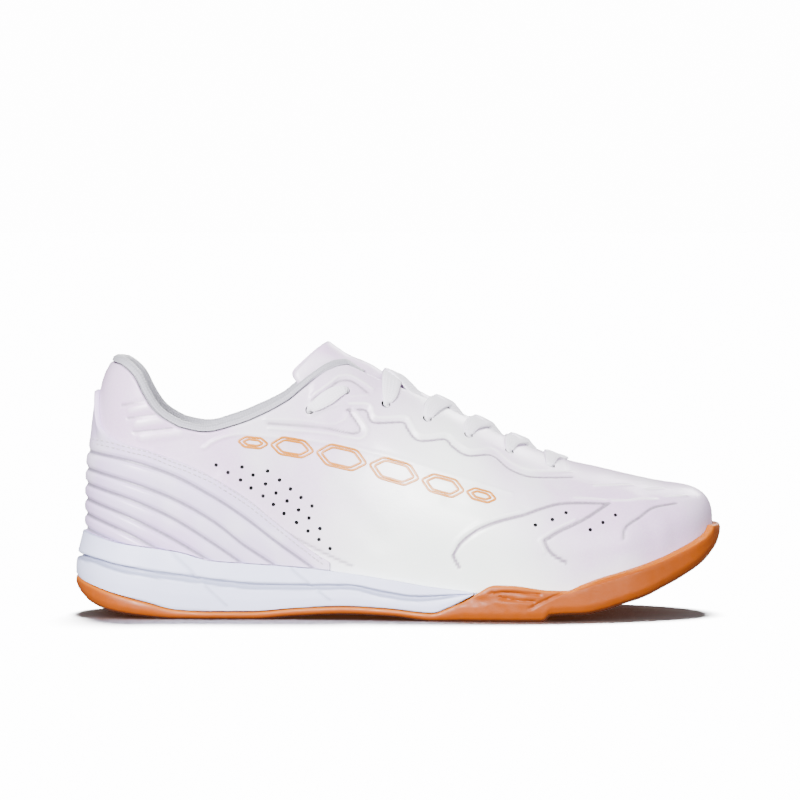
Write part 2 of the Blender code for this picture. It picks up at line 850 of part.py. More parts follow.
def make_lace_bar(name, place, end, lean, material):
    """Crossing of the flat lace over the throat, from a pair of eyelets to the middle."""
    skin = Skin()
    low = -(EYESTAY_LIFT + EYESTAY_THICK + EYESTAY_LIFT)
    outer, inner = [], []
    for step in range(-LACE_STEPS, LACE_STEPS + 1):
        away = abs(step) / LACE_STEPS
        side = LATERAL if step < 0 else MEDIAL
        here = place + lean * (1.0 - away)
        foot = Column(side, station(place)).angle_at(end)
        angle = math.pi / 2 - (math.pi / 2 - foot) * away
        row = [Column(side, station(here + LACE_WIDTH * k / 2)) for k in (-1, 0, 1)]
        outer.append([c.arc(angle, low - LACE_THICK) for c in row])
        inner.append([c.arc(angle, low) for c in row])
    skin.plate(outer, inner)
    return skin.finish(name, material)


def make_lace_run(side, material):
    """Short stretch of lace between the two top eyelets of one side."""
    skin = Skin()
    low = -(EYESTAY_LIFT + EYESTAY_THICK + EYESTAY_LIFT)
    outer, inner = [], []
    for step in range(LACE_STEPS):
        t = step / (LACE_STEPS - 1)
        column = Column(side, station(LACE_RUN[0][0] + (LACE_RUN[1][0] - LACE_RUN[0][0]) * t))
        z = LACE_RUN[0][1] + (LACE_RUN[1][1] - LACE_RUN[0][1]) * t
        heights = [z + LACE_WIDTH * k / 2 for k in (-1, 0, 1)]
        outer.append([column.at(h, low - LACE_THICK) for h in heights])
        inner.append([column.at(h, low) for h in heights])
    skin.plate(outer, inner)
    return skin.finish("lace_run_" + ("lateral", "medial")[side], material)


def main():
    for old in list(bpy.data.objects):
        bpy.data.objects.remove(old)
    gum = make_material("gum_rubber")
    foam = make_material("white_foam")
    pearl = make_material("pearl_synthetic")
    lining = make_material("grey_lining")
    lace = make_material("white_lace")
    make_outsole(gum)
    make_midsole(foam)
    make_upper(pearl)
    make_counter(pearl)
    make_roll(lining)
    make_tongue(pearl)
    make_insole(lining)
    for side in (LATERAL, MEDIAL):
        make_eyestay(side, pearl)
        make_lace_run(side, lace)
    for number, (place, end, lean) in enumerate(LACE_BARS, start=1):
        make_lace_bar(f"lace_bar_{number}", place, end, lean, lace)


main()
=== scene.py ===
"""Looks of the indoor soccer shoe: fine surfaces, seams, laces, tread and finishes."""
import math

import bmesh
import bpy
import numpy as np
from bpy.props import FloatProperty, FloatVectorProperty, PointerProperty
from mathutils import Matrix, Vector
from mathutils.bvhtree import BVHTree


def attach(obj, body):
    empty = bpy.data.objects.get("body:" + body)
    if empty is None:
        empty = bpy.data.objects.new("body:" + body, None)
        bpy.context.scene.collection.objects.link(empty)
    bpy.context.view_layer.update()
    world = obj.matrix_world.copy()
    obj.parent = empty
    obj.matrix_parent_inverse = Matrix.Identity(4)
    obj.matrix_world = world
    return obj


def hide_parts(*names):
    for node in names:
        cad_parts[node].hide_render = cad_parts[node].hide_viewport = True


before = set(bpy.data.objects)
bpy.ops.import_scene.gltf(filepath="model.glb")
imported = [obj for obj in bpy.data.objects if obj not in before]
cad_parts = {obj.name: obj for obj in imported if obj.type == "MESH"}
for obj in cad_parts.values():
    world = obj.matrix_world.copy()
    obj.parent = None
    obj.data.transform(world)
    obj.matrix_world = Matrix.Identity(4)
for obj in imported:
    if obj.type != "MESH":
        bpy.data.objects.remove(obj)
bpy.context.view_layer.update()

bl_info = {
    "name": "Indoor Soccer Shoe",
    "version": (1, 0, 0),
    "blender": (4, 5, 0),
    "location": "View3D > Sidebar > Shoe",
    "description": "Builds the fine surfaces of an indoor soccer shoe round its frame",
    "category": "Add Mesh",
}

MM = 0.001

# Driving sizes of the shoe
LENGTH = 280.0
HEEL_AXIS = 38.0  # upright axis that the heel's columns fan out from
TOE_START = 235.0  # where the outline begins to close round the toe
HEEL_FULLNESS = 2.25  # superellipse powers of the outline's two ends
TOE_FULLNESS = 2.2
WALL = 2.0  # thickness of the upper
GAP = 0.3  # clearance between pieces that touch
CAP_START = 258.0  # where the toe's ridge begins to drop
CAP_POWER = 3.0
CAP_POLE = 39.0  # height at which the toe closes
THROAT_END = 216.0
THROAT_START = 104.0
RIM_END = 171.5  # front end of the midsole's visible wall

LATERAL, MEDIAL = 0, 1
SIGN = (-1.0, 1.0)

# Outline of the sole seen from above: place, lateral edge, medial edge
OUTLINE = (
    (38.0, 32.5, 32.5), (62.0, 34.0, 33.0), (90.0, 34.0, 30.0), (120.0, 36.5, 28.5),
    (150.0, 42.5, 33.0), (178.0, 47.0, 42.0), (194.0, 48.0, 46.5), (212.0, 46.5, 48.0),
    (235.0, 40.5, 46.0), (258.0, 32.5, 43.0), (280.0, 28.0, 41.0),
)

# Middle line over the instep: place, sideways place, width of the rim round the upper
SPINE = (
    (0.0, 0.0, 5.6), (38.0, 0.0, 5.2), (100.0, 0.5, 4.4), (150.0, 3.5, 3.7),
    (200.0, 7.0, 3.5), (235.0, 8.0, 3.5), (280.0, 7.0, 3.5),
)

# Sections of the last: place, ridge height, power of the arch, share of straight wall
SECTIONS = (
    (38.0, 152.0, 2.20, 0.15), (60.0, 146.0, 2.15, 0.15), (80.0, 138.0, 2.10, 0.14),
    (100.0, 127.0, 2.05, 0.14), (108.0, 122.0, 2.05, 0.14), (115.0, 117.0, 2.00, 0.15),
    (124.0, 111.0, 2.00, 0.16), (134.0, 104.3, 2.00, 0.18), (152.0, 94.8, 2.00, 0.22),
    (170.0, 85.4, 2.00, 0.26), (188.0, 76.0, 2.05, 0.28), (206.0, 68.4, 2.10, 0.30),
    (216.0, 65.4, 2.15, 0.30), (226.0, 63.2, 2.20, 0.30), (239.0, 60.1, 2.25, 0.32),
    (251.0, 57.5, 2.35, 0.34), (258.0, 56.4, 2.40, 0.36), (280.0, 54.2, 2.40, 0.40),
)

# Back of the heel seen from the side: height, place of the upper's outer face
HEEL_BACK = (
    (0.0, 5.6), (40.0, 5.6), (62.0, 6.0), (80.0, 8.1), (90.0, 9.3), (97.7, 10.8),
    (103.7, 12.5), (108.5, 14.9), (116.0, 18.6),
)

# Collar line: place, height of the shell's edge
COLLAR = (
    (15.0, 108.6), (18.5, 108.0), (22.5, 105.8), (26.0, 102.4), (30.0, 95.2), (34.7, 88.5),
    (39.5, 84.6), (46.9, 80.9), (56.9, 79.2), (71.2, 82.6), (82.0, 87.0), (92.4, 92.6),
    (99.0, 98.0), (104.6, 102.4), (110.2, 105.9), (117.0, 108.0), (126.0, 109.0),
    (150.0, 160.0),
)

# Throat: place, half of its width
THROAT = (
    (100.0, 14.0), (124.0, 13.0), (140.0, 11.0), (170.0, 9.0), (195.0, 8.0), (206.0, 6.6),
    (212.0, 4.4), (216.0, 0.0),
)

# Sole seen from the side: place, underside, top of the outsole's side, bed of the outsole,
# top of the midsole's side, footbed
SOLE = (
    (0.0, 12.0, 16.9, 16.9, 36.0, 19.0),
    (2.5, 9.5, 15.6, 15.6, 35.5, 19.0),
    (7.0, 6.1, 13.8, 13.8, 34.6, 19.0),
    (17.0, 2.7, 10.6, 10.6, 32.4, 19.0),
    (31.0, 0.9, 7.2, 7.2, 30.6, 19.0),
    (45.0, 0.0, 3.9, 3.9, 28.6, 18.8),
    (60.0, 0.0, 3.2, 3.2, 24.8, 18.2),
    (76.0, 0.0, 3.2, 3.2, 23.7, 17.4),
    (97.0, 1.3, 4.8, 4.8, 22.2, 16.0),
    (117.0, 2.2, 5.7, 5.7, 20.0, 14.4),
    (136.0, 1.7, 4.9, 4.9, 17.3, 12.9),
    (154.0, 0.0, 3.4, 3.4, 14.6, 12.1),
    (161.0, 0.0, 5.8, 3.6, 13.8, 12.0),
    (171.5, 0.0, 11.2, 3.8, 12.6, 12.0),
    (181.0, 0.0, 15.7, 4.0, 11.6, 11.6),
    (189.0, 0.0, 15.5, 4.0, 11.2, 11.2),
    (201.5, 0.0, 13.8, 4.2, 11.0, 11.0),
    (204.5, 2.4, 13.5, 5.0, 11.1, 11.1),
    (212.0, 2.8, 13.3, 5.8, 11.6, 11.6),
    (219.0, 2.9, 15.8, 6.6, 12.6, 12.6),
    (227.4, 4.3, 18.6, 8.1, 14.2, 14.2),
    (236.0, 6.9, 20.9, 10.6, 16.4, 16.4),
    (245.0, 9.5, 23.3, 13.4, 19.0, 19.0),
    (254.0, 13.5, 26.2, 17.2, 22.4, 22.4),
    (262.0, 17.4, 29.4, 21.0, 26.0, 26.0),
    (270.0, 22.0, 33.0, 25.4, 30.0, 30.0),
    (275.0, 26.0, 36.0, 28.4, 32.8, 32.8),
    (277.6, 28.6, 40.4, 29.4, 34.0, 34.0),
    (280.0, 33.0, 43.4, 30.4, 35.0, 35.0),
)
UNDER, SOLE_TOP, BED, RIM_TOP, FOOTBED = 1, 2, 3, 4, 5

# Sunk band in the midsole's side: place, upper edge, lower edge
BAND = (
    (0.0, 27.0, 24.4), (8.0, 25.8, 23.6), (19.0, 23.4, 20.6), (34.0, 20.9, 18.2),
    (49.5, 19.0, 16.4), (66.8, 16.7, 14.3), (80.0, 15.5, 13.1), (100.0, 15.2, 13.0),
    (118.0, 15.2, 13.4), (133.0, 12.7, 10.4), (147.0, 10.9, 8.8), (171.5, 12.2, 12.0),
)
BAND_DEPTH = 1.2

# Top edge of the heel counter: place, height
COUNTER_TOP = (
    (8.0, 97.0), (9.4, 89.5), (11.0, 83.3), (13.5, 79.9), (23.4, 74.8), (32.0, 72.5),
    (40.8, 69.4), (49.5, 66.2), (58.2, 62.0), (66.8, 56.9), (75.5, 51.2), (84.2, 43.8),
    (92.9, 36.9), (101.6, 29.9), (112.0, 23.4),
)
COUNTER_END = 110.0
RIB_RISE = 1.45  # height of the ribs over the shell
FLAP_FLARE = 0.9  # how far the pointed flap at the back stands off
COUNTER_BACK = 2.4  # how far ahead of the foot the heel's rear reads the tables

# Padded collar roll: columns round the heel on each side, points round its section, how far
# before its front end it is thinnest and begins to fall, how thin it gets and how far it moves out
ROLL_FAN = 40
ROLL_POINTS = 44
ROLL_FULL = 6.0
ROLL_FALL = 12.0
ROLL_THIN = 0.75
ROLL_OUT = 0.55

# Depths of the thin lining's two faces behind the upper's face
LINING_FACES = (WALL + 0.15, WALL + 0.55)

# Finer tongue: rows to each side and along, length of its rounded rear edge, sharpness of its
# rounded sides, and where along the throat it bulges between the eyestays
TONGUE_ACROSS = 40
TONGUE_ALONG = 150
TONGUE_LIP = 2.6
TONGUE_SIDE = 12.0
BULGE_FROM = (116.0, 130.0)
BULGE_TO = (205.0, 214.0)

# The finer heel counter
COUNTER_ROWS = 120
COUNTER_STRIDE = 8  # of its rows, on its plain inner face
COUNTER_FAN = 46  # columns round the heel on each side
COUNTER_STEP = 0.8
COUNTER_LIFT = 0.4  # its foot's height over the midsole's rim
COUNTER_LEAST = 0.6  # least height of its front end
COUNTER_INNER = 0.12  # clearance over the upper
COUNTER_ROLL = 0.9  # how far down from its top its face rounds off
COUNTER_THIN = 0.5  # thickness of its top edge
# How far below its top the painted highlight on its edge begins and is full
COUNTER_PALE = (1.1, 0.3)
EDGE_PALE = 0.4  # shares of the painted highlight on its edge and of the painted shade in its grooves
GROOVE_SHADE = 0.5
GROOVE_HALF = 2.1  # half widths of a groove and of the shade in it
GROOVE_DARK = 1.3
RIB_CROWN = 0.35  # rise of a rib's middle
RIB_FADE = 8.0  # how far from the front end the crown fades
FLAP_TALL = 7.0  # height of the flap's flare, and where along the shoe it fades
FLAP_FROM = (11.0, 19.0)

# Grooves between the counter's ribs: place, heights of the six grooves
GROOVES = (
    (6.0, 71.2, 63.9, 57.4, 51.0, 44.6, 38.4),
    (23.4, 68.0, 59.0, 51.8, 44.2, 37.0, 30.6),
    (40.8, 62.5, 52.5, 44.2, 35.4, 27.6, 22.0),
    (60.3, 52.5, 42.0, 32.4, 24.0, 18.0, 14.0),
    (73.3, 43.8, 31.7, 23.4, 16.0, 12.0, 8.0),
    (86.4, 33.8, 23.2, 15.0, 10.0, 6.0, 2.0),
    (110.0, 17.0, 8.0, 4.0, 2.0, 0.0, -2.0),
)

# Lower edge of the eyestay: place, height
EYESTAY_EDGE = (
    (100.0, 86.0), (118.5, 91.6), (127.0, 92.0), (130.5, 86.6), (142.4, 86.4),
    (149.3, 79.0), (161.0, 79.0), (169.5, 72.6), (181.0, 72.2), (188.5, 66.6),
    (200.0, 62.6), (214.0, 62.4),
)

# Padded roll of the collar in section: depth behind the shell's face, height over its edge
ROLL = (
    (3.0, -26.0), (3.0, -14.0), (3.0, 0.5), (1.0, 1.3), (1.5, 2.9), (3.4, 3.8), (5.6, 3.2),
    (7.0, 1.0), (7.2, -5.0), (6.0, -14.0), (3.8, -26.0),
)
ROLL_TAPER = 96.0  # where the roll begins to grow thinner towards the throat
ROLL_LIP = 2.0  # below this height the roll lies close on the shell's edge
ROLL_NEAR = 0.55

# Tongue: place, arc angle of its edge in degrees, depth at its edge, depth at its middle,
# thickness
TONGUE = (
    (92.0, 47.0, 11.0, 11.0, 3.0),
    (108.0, 53.0, 9.5, 2.7, 4.0),
    (116.0, 52.0, 7.5, 2.7, 4.6),
    (127.0, 50.0, 2.7, 2.7, 4.6),
    (170.0, 52.0, 2.7, 2.7, 4.0),
    (224.0, 62.0, 2.7, 2.7, 2.2),
)
TONGUE_TIP = 108.0
TONGUE_BACK = 87.5  # where the tongue's two upper corners lie
TONGUE_END = 224.0
TONGUE_CURVE = 1.8  # powers of its end's curve and of its edges' drop
TONGUE_DROP = 1.2
TONGUE_CORNER = 9.0  # how far its corners are rounded off

INSOLE_THICK = 3.5

# Edge of the insole: height over the footbed, how far in; and its clearance to the wall
INSOLE_EDGE = (
    (GAP, 0.6),
    (GAP + 0.4, 0.0),
    (GAP + INSOLE_THICK - 0.6, 0.0),
    (GAP + INSOLE_THICK, 0.7),
)
INSOLE_CLEAR = 1.2


def read(table, column, x):
    """Value of one column at a place, on a smooth curve that keeps the rows' highs and lows."""
    if x <= table[0][0]:
        return table[0][column]
    if x >= table[-1][0]:
        return table[-1][column]
    k = 0
    while table[k + 1][0] < x:
        k += 1

    def slope(i):
        return (table[i + 1][column] - table[i][column]) / (table[i + 1][0] - table[i][0])

    def tangent(i):
        if i == 0:
            return slope(0)
        if i == len(table) - 1:
            return slope(i - 1)
        before, after = slope(i - 1), slope(i)
        if before * after <= 0.0:
            return 0.0
        return 2.0 * before * after / (before + after)

    width = table[k + 1][0] - table[k][0]
    t = (x - table[k][0]) / width
    start, end = table[k][column], table[k + 1][column]
    return (
        start * (1 + 2 * t) * (1 - t) ** 2
        + tangent(k) * width * t * (1 - t) ** 2
        + end * t * t * (3 - 2 * t)
        + tangent(k + 1) * width * t * t * (t - 1)
    )


def closing(x, start, end, power):
    """Share of the full size left at a place, falling to nothing along a superellipse."""
    share = min(1.0, max(0.0, (x - start) / (end - start)))
    return (1.0 - share ** power) ** (1.0 / power)


def edge_point(side, u):
    """Point of the sole's outline: u is 0 to 1 round the heel, to 2 along, to 3 round the toe."""
    if u <= 1.0:
        angle = u * math.pi / 2
        power = 2.0 / HEEL_FULLNESS
        x = HEEL_AXIS * (1.0 - max(0.0, math.cos(angle)) ** power)
        half = read(OUTLINE, side + 1, HEEL_AXIS) * math.sin(angle) ** power
        return x, SIGN[side] * half
    if u <= 2.0:
        x = HEEL_AXIS + (u - 1.0) * (TOE_START - HEEL_AXIS)
    else:
        x = TOE_START + (LENGTH - TOE_START) * math.sin((u - 2.0) * math.pi / 2)
    middle = read(SPINE, 1, x)
    full = SIGN[side] * read(OUTLINE, side + 1, x) - middle
    return x, middle + full * closing(x, TOE_START, LENGTH, TOE_FULLNESS)


def station(x):
    """The outline's parameter at a place along the shoe."""
    if x <= TOE_START:
        return 1.0 + (x - HEEL_AXIS) / (TOE_START - HEEL_AXIS)
    return 2.0 + math.asin((x - TOE_START) / (LENGTH - TOE_START)) * 2.0 / math.pi


class Column:
    """One upright slice of the shoe's side: its outline point, its normal and its section."""

    def __init__(self, side, u):
        self.side = side
        self.u = u
        self.middles = {}
        self.known_levels = {}
        self.fan = u < 1.0
        self.x, self.y = edge_point(side, u)
        self.normal = self.facing(side)
        self.rim = read(SPINE, 2, self.x)
        self.plain_foot = self.foot(0.0)
        self.plain_centre = self.centre(0.0)
        self.place = self.plain_centre[0] if not self.fan else HEEL_AXIS

    def facing(self, side):
        if self.u <= 0.0:
            return -1.0, 0.0
        if self.u >= 3.0:
            return 1.0, 0.0
        step = 1e-3
        a = edge_point(side, max(0.0, self.u - step))
        b = edge_point(side, min(3.0, self.u + step))
        along = math.hypot(b[0] - a[0], b[1] - a[1])
        return (
            -SIGN[side] * (b[1] - a[1]) / along,
            SIGN[side] * (b[0] - a[0]) / along,
        )

    def out(self, offset, z):
        """Point beside the outline, offset outwards, at a height."""
        return self.x + offset * self.normal[0], self.y + offset * self.normal[1], z

    def foot(self, depth):
        """Where the upper's wall meets the sole, a depth behind its outer face."""
        reach = -(self.rim + depth)
        return self.x + reach * self.normal[0], self.y + reach * self.normal[1]

    def centre(self, depth):
        """Middle that the section's arch runs to."""
        if depth not in self.middles:
            self.middles[depth] = self.find_centre(depth)
        return self.middles[depth]

    def find_centre(self, depth):
        if self.fan:
            return HEEL_AXIS, 0.0
        other = 1 - self.side
        across = edge_point(other, self.u)
        other_reach = -(self.rim + depth) * self.facing(other)[0]
        x = (self.foot(depth)[0] + across[0] + other_reach) / 2
        return x, read(SPINE, 1, x)

    def levels(self, depth):
        """Foot height, height where the arch begins, ridge height and the arch's power."""
        if depth not in self.known_levels:
            self.known_levels[depth] = self.find_levels(depth)
        return self.known_levels[depth]

    def find_levels(self, depth):
        place = self.place
        tip = LENGTH - read(SPINE, 2, LENGTH)
        ridge = read(SECTIONS, 1, place)
        if place > CAP_START:
            ridge = CAP_POLE + (ridge - CAP_POLE) * closing(place, CAP_START, tip, CAP_POWER)
        ridge = max(ridge, CAP_POLE)
        low = read(SOLE, FOOTBED, self.plain_foot[0]) + GAP
        start = low + read(SECTIONS, 3, place) * (ridge - low)
        return low, start, ridge - depth, read(SECTIONS, 2, place)

    def share(self, z, depth):
        """How much of the half width is left at a height."""
        low, start, ridge, power = self.levels(depth)
        if z <= start:
            return 1.0
        rise = min(1.0, (z - start) / (ridge - start))
        return (1.0 - rise ** power) ** (1.0 / power)

    def at(self, z, depth=0.0):
        """Point of the wall at a height, a depth behind the outer face."""
        return self.lay(self.share(z, depth), z, depth)

    def lay(self, share, z, depth):
        if self.fan:
            back = (HEEL_AXIS - read(HEEL_BACK, 1, z)) / (HEEL_AXIS - HEEL_BACK[0][1])
            turn = math.sin(self.u * math.pi / 2) ** 2
            share = share * turn + back * (1.0 - turn)
            x = HEEL_AXIS + (self.plain_foot[0] - HEEL_AXIS) * share - depth * self.normal[0]
            y = self.plain_foot[1] * share - depth * self.normal[1]
            return x, y, z
        middle, foot = self.centre(depth), self.foot(depth)
        return (
            middle[0] + (foot[0] - middle[0]) * share,
            middle[1] + (foot[1] - middle[1]) * share,
            z,
        )

    def arc(self, angle, depth=0.0):
        """Point of the arch at an angle, 0 where it leaves the wall and 90 degrees on top."""
        low, start, ridge, power = self.levels(depth)
        z = start + (ridge - start) * math.sin(angle) ** (2.0 / power)
        share = max(0.0, math.cos(angle)) ** (2.0 / power)
        return self.lay(share, z, depth)

    def angle_at(self, z, depth=0.0):
        low, start, ridge, power = self.levels(depth)
        rise = min(1.0, max(0.0, (z - start) / (ridge - start)))
        return math.asin(rise ** (power / 2.0))

    def collar_place(self):
        """Place along the shoe at which a heel column crosses the collar line."""
        if not self.fan:
            return self.place
        place = self.x + 10.0
        for _ in range(12):
            place = self.at(read(COLLAR, 1, place))[0]
        return place

    def top_angle(self, depth=0.0):
        """Arc angle of the collar or throat edge."""
        collar = self.angle_at(read(COLLAR, 1, self.collar_place()), depth)
        if self.place >= THROAT_END:
            return math.pi / 2
        middle, foot = self.centre(depth), self.foot(depth)
        half = math.hypot(foot[0] - middle[0], foot[1] - middle[1])
        if self.place < THROAT_START:
            return collar
        share = min(1.0, read(THROAT, 1, self.place) / half)
        power = self.levels(depth)[3]
        return min(collar, math.acos(share ** (power / 2.0)))


# The camera, in millimetres, which also places the marks that were read on the photograph
SENSOR, LENS = 36.0, 249.0
PICTURE = 800.0
DISTANCE = 2400.0
TILT = math.radians(3.0)
AIM = (140.6, 0.0, 92.5)

# Studio lights: name, place in metres, width, height, share of the key's power
SOFT_LIGHTS = (
    ("key", (-0.9, -1.95, 1.0), 0.8, 0.7, 1.0),
    ("fill", (1.3, -1.9, 0.5), 1.2, 1.0, 0.24),
    ("far_side", (1.0, 1.8, 1.5), 1.0, 0.9, 0.35),
    ("overhead", (0.0, 0.1, 2.2), 1.4, 1.0, 0.03),
)

# Angular size and turn of the floor's own light
FLOOR_SPREAD = math.radians(16.0)
FLOOR_TURN = (math.radians(-24.0), math.radians(4.0), 0.0)
SHEEN_MIDDLE = 22.0  # where the painted pearly sheen of the side panel is palest, ahead of the shoe's middle

# Fine steps of the upper's surface
HEEL_FINE, SIDE_FINE, TOE_FINE = 76, 230, 56
FOOT_FINE, ARC_FINE = 14, 94
INNER_ROWS = 12

# The eyestay: how soft its lower edge is, where it starts and where it ends
STAY_SOFT = (-0.6, 0.9)
STAY_FROM = (101.0, 104.0)
STAY_TO = (211.5, 213.5)

# Rounded rim of the upper's wall: share of the wall, rise over its edge
RIM_ROUND = ((0.0, 0.0), (0.15, 0.5), (0.5, 0.75), (0.85, 0.5), (1.0, 0.0))

# Embossed lines of the upper in photo pixels: rise and half width in millimetres, points
EMBOSSED = (
    # lower border of the eyestay, a rail between two grooves
    (0.60, 1.2, ((349, 404), (369, 405), (376, 417), (404, 417), (409, 421), (420, 435), (447, 434),
                 (454, 440), (469, 450), (493, 450), (509, 462), (523, 469), (537, 472), (572, 472))),
    (-0.50, 1.0, ((347, 409.5), (366, 410.5), (373, 422), (402, 422), (406, 426), (418, 440), (445, 439),
                  (451, 445), (467, 455), (491, 455), (507, 467), (521, 474), (537, 477), (572, 477))),
    # loops round the two top eyelets
    (0.55, 1.1, ((354, 409), (367, 429), (361, 438), (347, 437), (333, 434), (316, 432), (270, 428))),
    (-0.45, 1.0, ((348, 410), (360, 428), (356, 433), (345, 432.5), (320, 427.5), (268, 423.5))),
    (0.45, 1.0, ((265, 419), (300, 420), (330, 424), (345, 419), (347, 412))),
    (0.55, 1.1, ((313, 395), (330, 383), (338, 377), (349, 376), (359, 381), (372, 390))),
    (-0.40, 1.0, ((312, 400), (330, 388), (338, 382), (349, 381), (357, 385), (367, 393))),
    (0.40, 1.0, ((350, 397), (367, 396))),
    # folds at the rear of the collar
    (-0.30, 1.3, ((122, 405), (134, 403.5), (148, 401))),
    (0.30, 3.2, ((131, 410), (140, 408), (151, 406))),
    (-0.32, 1.3, ((128, 418), (140, 417), (156, 415))),
    (0.34, 3.4, ((137, 424), (148, 422), (161, 420.5))),
    (-0.32, 1.3, ((134, 432), (152, 430.5), (172, 428.5))),
    (0.30, 3.0, ((142, 438), (158, 436), (180, 433))),
    # welded lines over the vamp
    (-0.50, 1.4, ((459, 567), (453.6, 557), (455, 551), (463, 541), (480, 529), (500, 521),
                  (523, 515), (534, 511), (557, 504), (579, 502.6), (607, 503))),
    (0.50, 1.1, ((452, 551), (460, 537.5), (478, 525), (498, 517), (521, 511))),
    (-0.50, 1.4, ((566, 562.5), (556, 557), (548.6, 550), (545, 541), (549, 538), (560, 531),
                  (577, 523), (591, 515), (610, 502))),
    (0.50, 1.1, ((544, 552), (540, 541), (546, 535), (558, 527.5), (575, 519.5))),
    (-0.50, 1.1, ((623, 538.6), (626, 527), (640, 517), (649, 510), (659, 506), (676, 503))),
    (0.60, 1.4, ((594, 486), (632, 485))),
    (0.50, 1.3, ((574, 498), (607, 500))),
    (0.60, 1.4, ((611, 500.5), (656, 499.5))),
    (0.50, 1.3, ((664, 497), (686, 495.5))),
    (0.50, 1.3, ((648, 489.5), (664, 488.5))),
    # long soft welds that bound the side's panel
    (0.40, 1.4, ((204, 448), (216, 440), (240, 434), (280, 437), (330, 443), (390, 457),
                 (450, 475), (512, 494))),
    (-0.36, 1.2, ((232, 496), (262, 516), (292, 536), (330, 556), (352, 566))),
)

# Long soft creases and swellings of the upper, placed like the lines
CREASES = (
    (0.55, 9.0, ((392, 446), (430, 470), (470, 486))),
    (-0.45, 8.0, ((300, 452), (340, 500), (380, 540))),
    (-0.50, 6.0, ((560, 484), (590, 492), (622, 496))),
    (0.40, 7.0, ((640, 500), (660, 520), (664, 540))),
    (-0.35, 6.0, ((452, 500), (484, 508), (520, 504))),
    (-0.40, 5.0, ((196, 440), (206, 452), (214, 470))),
)

# Perforations in photo pixels
HOLES_REAR = (
    (216, 465), (228, 472.5), (240.5, 480), (251, 488), (263, 496), (273.5, 504.5), (284, 513.5),
    (296.5, 522.5), (308, 531), (319, 539.5), (330, 548.5), (242, 467), (253, 475), (265.5, 484),
    (276, 493), (287, 501), (298.5, 510), (309, 518), (320, 528.5), (267.5, 471), (279.5, 480),
    (290.5, 489), (301, 497.5), (312, 506),
)
HOLES_FRONT = (
    (535.4, 525), (552.4, 519.6), (566, 512.6), (590.3, 529.7), (602.9, 522.4), (615.4, 515),
)
EYELETS = (
    (310, 410), (345, 391), (385.5, 404.5), (427, 419.3), (468, 435.7), (509, 452), (550.4, 466.4),
)
HOLE_DEPTH = 1.4
EYELET_DEPTH = 6.0  # through the whole wall
CUTTER_PROUD = 1.5  # how far a hole's cutter starts outside the face
HOLE_PARTS = 16
EYELET_PARTS = 28

# Double row of stitches along the counter's top edge, in photo pixels
STITCH_THIN = 0.17  # a stitch's radius, rounding and width, as shares of its length
STITCH_ROUND = 0.10
STITCH_WIDE = 1.25
STITCH_PITCH = 1.5  # from stitch to stitch, in lengths of one
STITCH_LIFT = 0.05
STITCH_ROWS = (
    ((93, 437), (110, 442), (130, 447.5), (150, 452.5), (170, 460.5), (190, 468), (210, 477), (230, 489),
     (250, 502), (270, 518), (290, 534), (312, 551), (335, 568)),
    ((92, 441.5), (110, 446.5), (130, 452), (150, 457), (170, 465), (190, 472.5), (210, 481.5),
     (230, 493.5), (248, 505.5), (266, 519.5), (286, 535.5), (306, 551), (326, 566)),
)

# Generic gold accent: chain of outlined cells on the side, in photo pixels and millimetres
ACCENT_ROUTE = ((238, 441), (290, 447), (340, 457), (390, 470), (440, 485), (496, 499))
ACCENT_CELLS = 6
ACCENT_LINE = 0.55  # half width of the line
ACCENT_RISE = 0.16
ACCENT_GAP = 1.1  # between two cells
ACCENT_INSET = 1.5  # of the inner outline of a long cell
ACCENT_TALL = 4.6  # half height of the tallest cell
ACCENT_SWELL = 1.4  # how much longer the middle cells are
ACCENT_LEAST = 0.3  # least share of the tallest height
ACCENT_DOUBLE = 9.0  # length from which a cell has an inner outline

# Corners of a cell: share of its length, share of its half height
CELL = ((0.0, 0.0), (0.24, 1.0), (0.76, 1.0), (1.0, 0.0), (0.76, -1.0), (0.24, -1.0), (0.0, 0.0))

# Section of the accent's line: share of its half width, share of its rise
BEAD = ((-1.0, -0.5), (-0.9, 0.5), (-0.45, 1.0), (0.45, 1.0), (0.9, 0.5), (1.0, -0.5), (-1.0, -0.5))


def seen_at(pixel, y):
    """Place and height of what the camera sees at a pixel, at a distance from the middle plane."""
    scale = LENS / SENSOR * PICTURE
    right = (pixel[0] - PICTURE / 2) / scale
    up = (PICTURE / 2 - pixel[1]) / scale
    ahead = y - AIM[1] + DISTANCE * math.cos(TILT)
    rise = ahead * (up * math.cos(TILT) - math.sin(TILT)) / (math.cos(TILT) + up * math.sin(TILT))
    depth = ahead * math.cos(TILT) - rise * math.sin(TILT)
    return AIM[0] + right * depth, AIM[2] + DISTANCE * math.sin(TILT) + rise


def photo(spots):
    """Places and heights on the shoe's outer side of marks read on the photograph."""
    found = []
    for pixel in spots:
        y = -40.0
        for _ in range(3):
            x, z = seen_at(pixel, y)
            y = side_column(LATERAL, x, z).at(z)[1]
        found.append(seen_at(pixel, y))
    return found


def between(a, b, c, d, t):
    """Point on the smooth curve from b to c whose neighbours are a and d."""
    return 0.5 * (2 * b + (c - a) * t + (2 * a - 5 * b + 4 * c - d) * t * t
                  + (3 * b - a - 3 * c + d) * t ** 3)


def run_along(points):
    """Running length at each point of a line."""
    return np.concatenate([[0.0], np.cumsum(np.linalg.norm(np.diff(points, axis=0), axis=1))])


def evenly(points, count):
    """Same open line with evenly spaced points."""
    points = np.array(points, float)
    run = run_along(points)
    want = np.linspace(0.0, run[-1], count)
    return np.stack([np.interp(want, run, points[:, k]) for k in range(3)], axis=1)


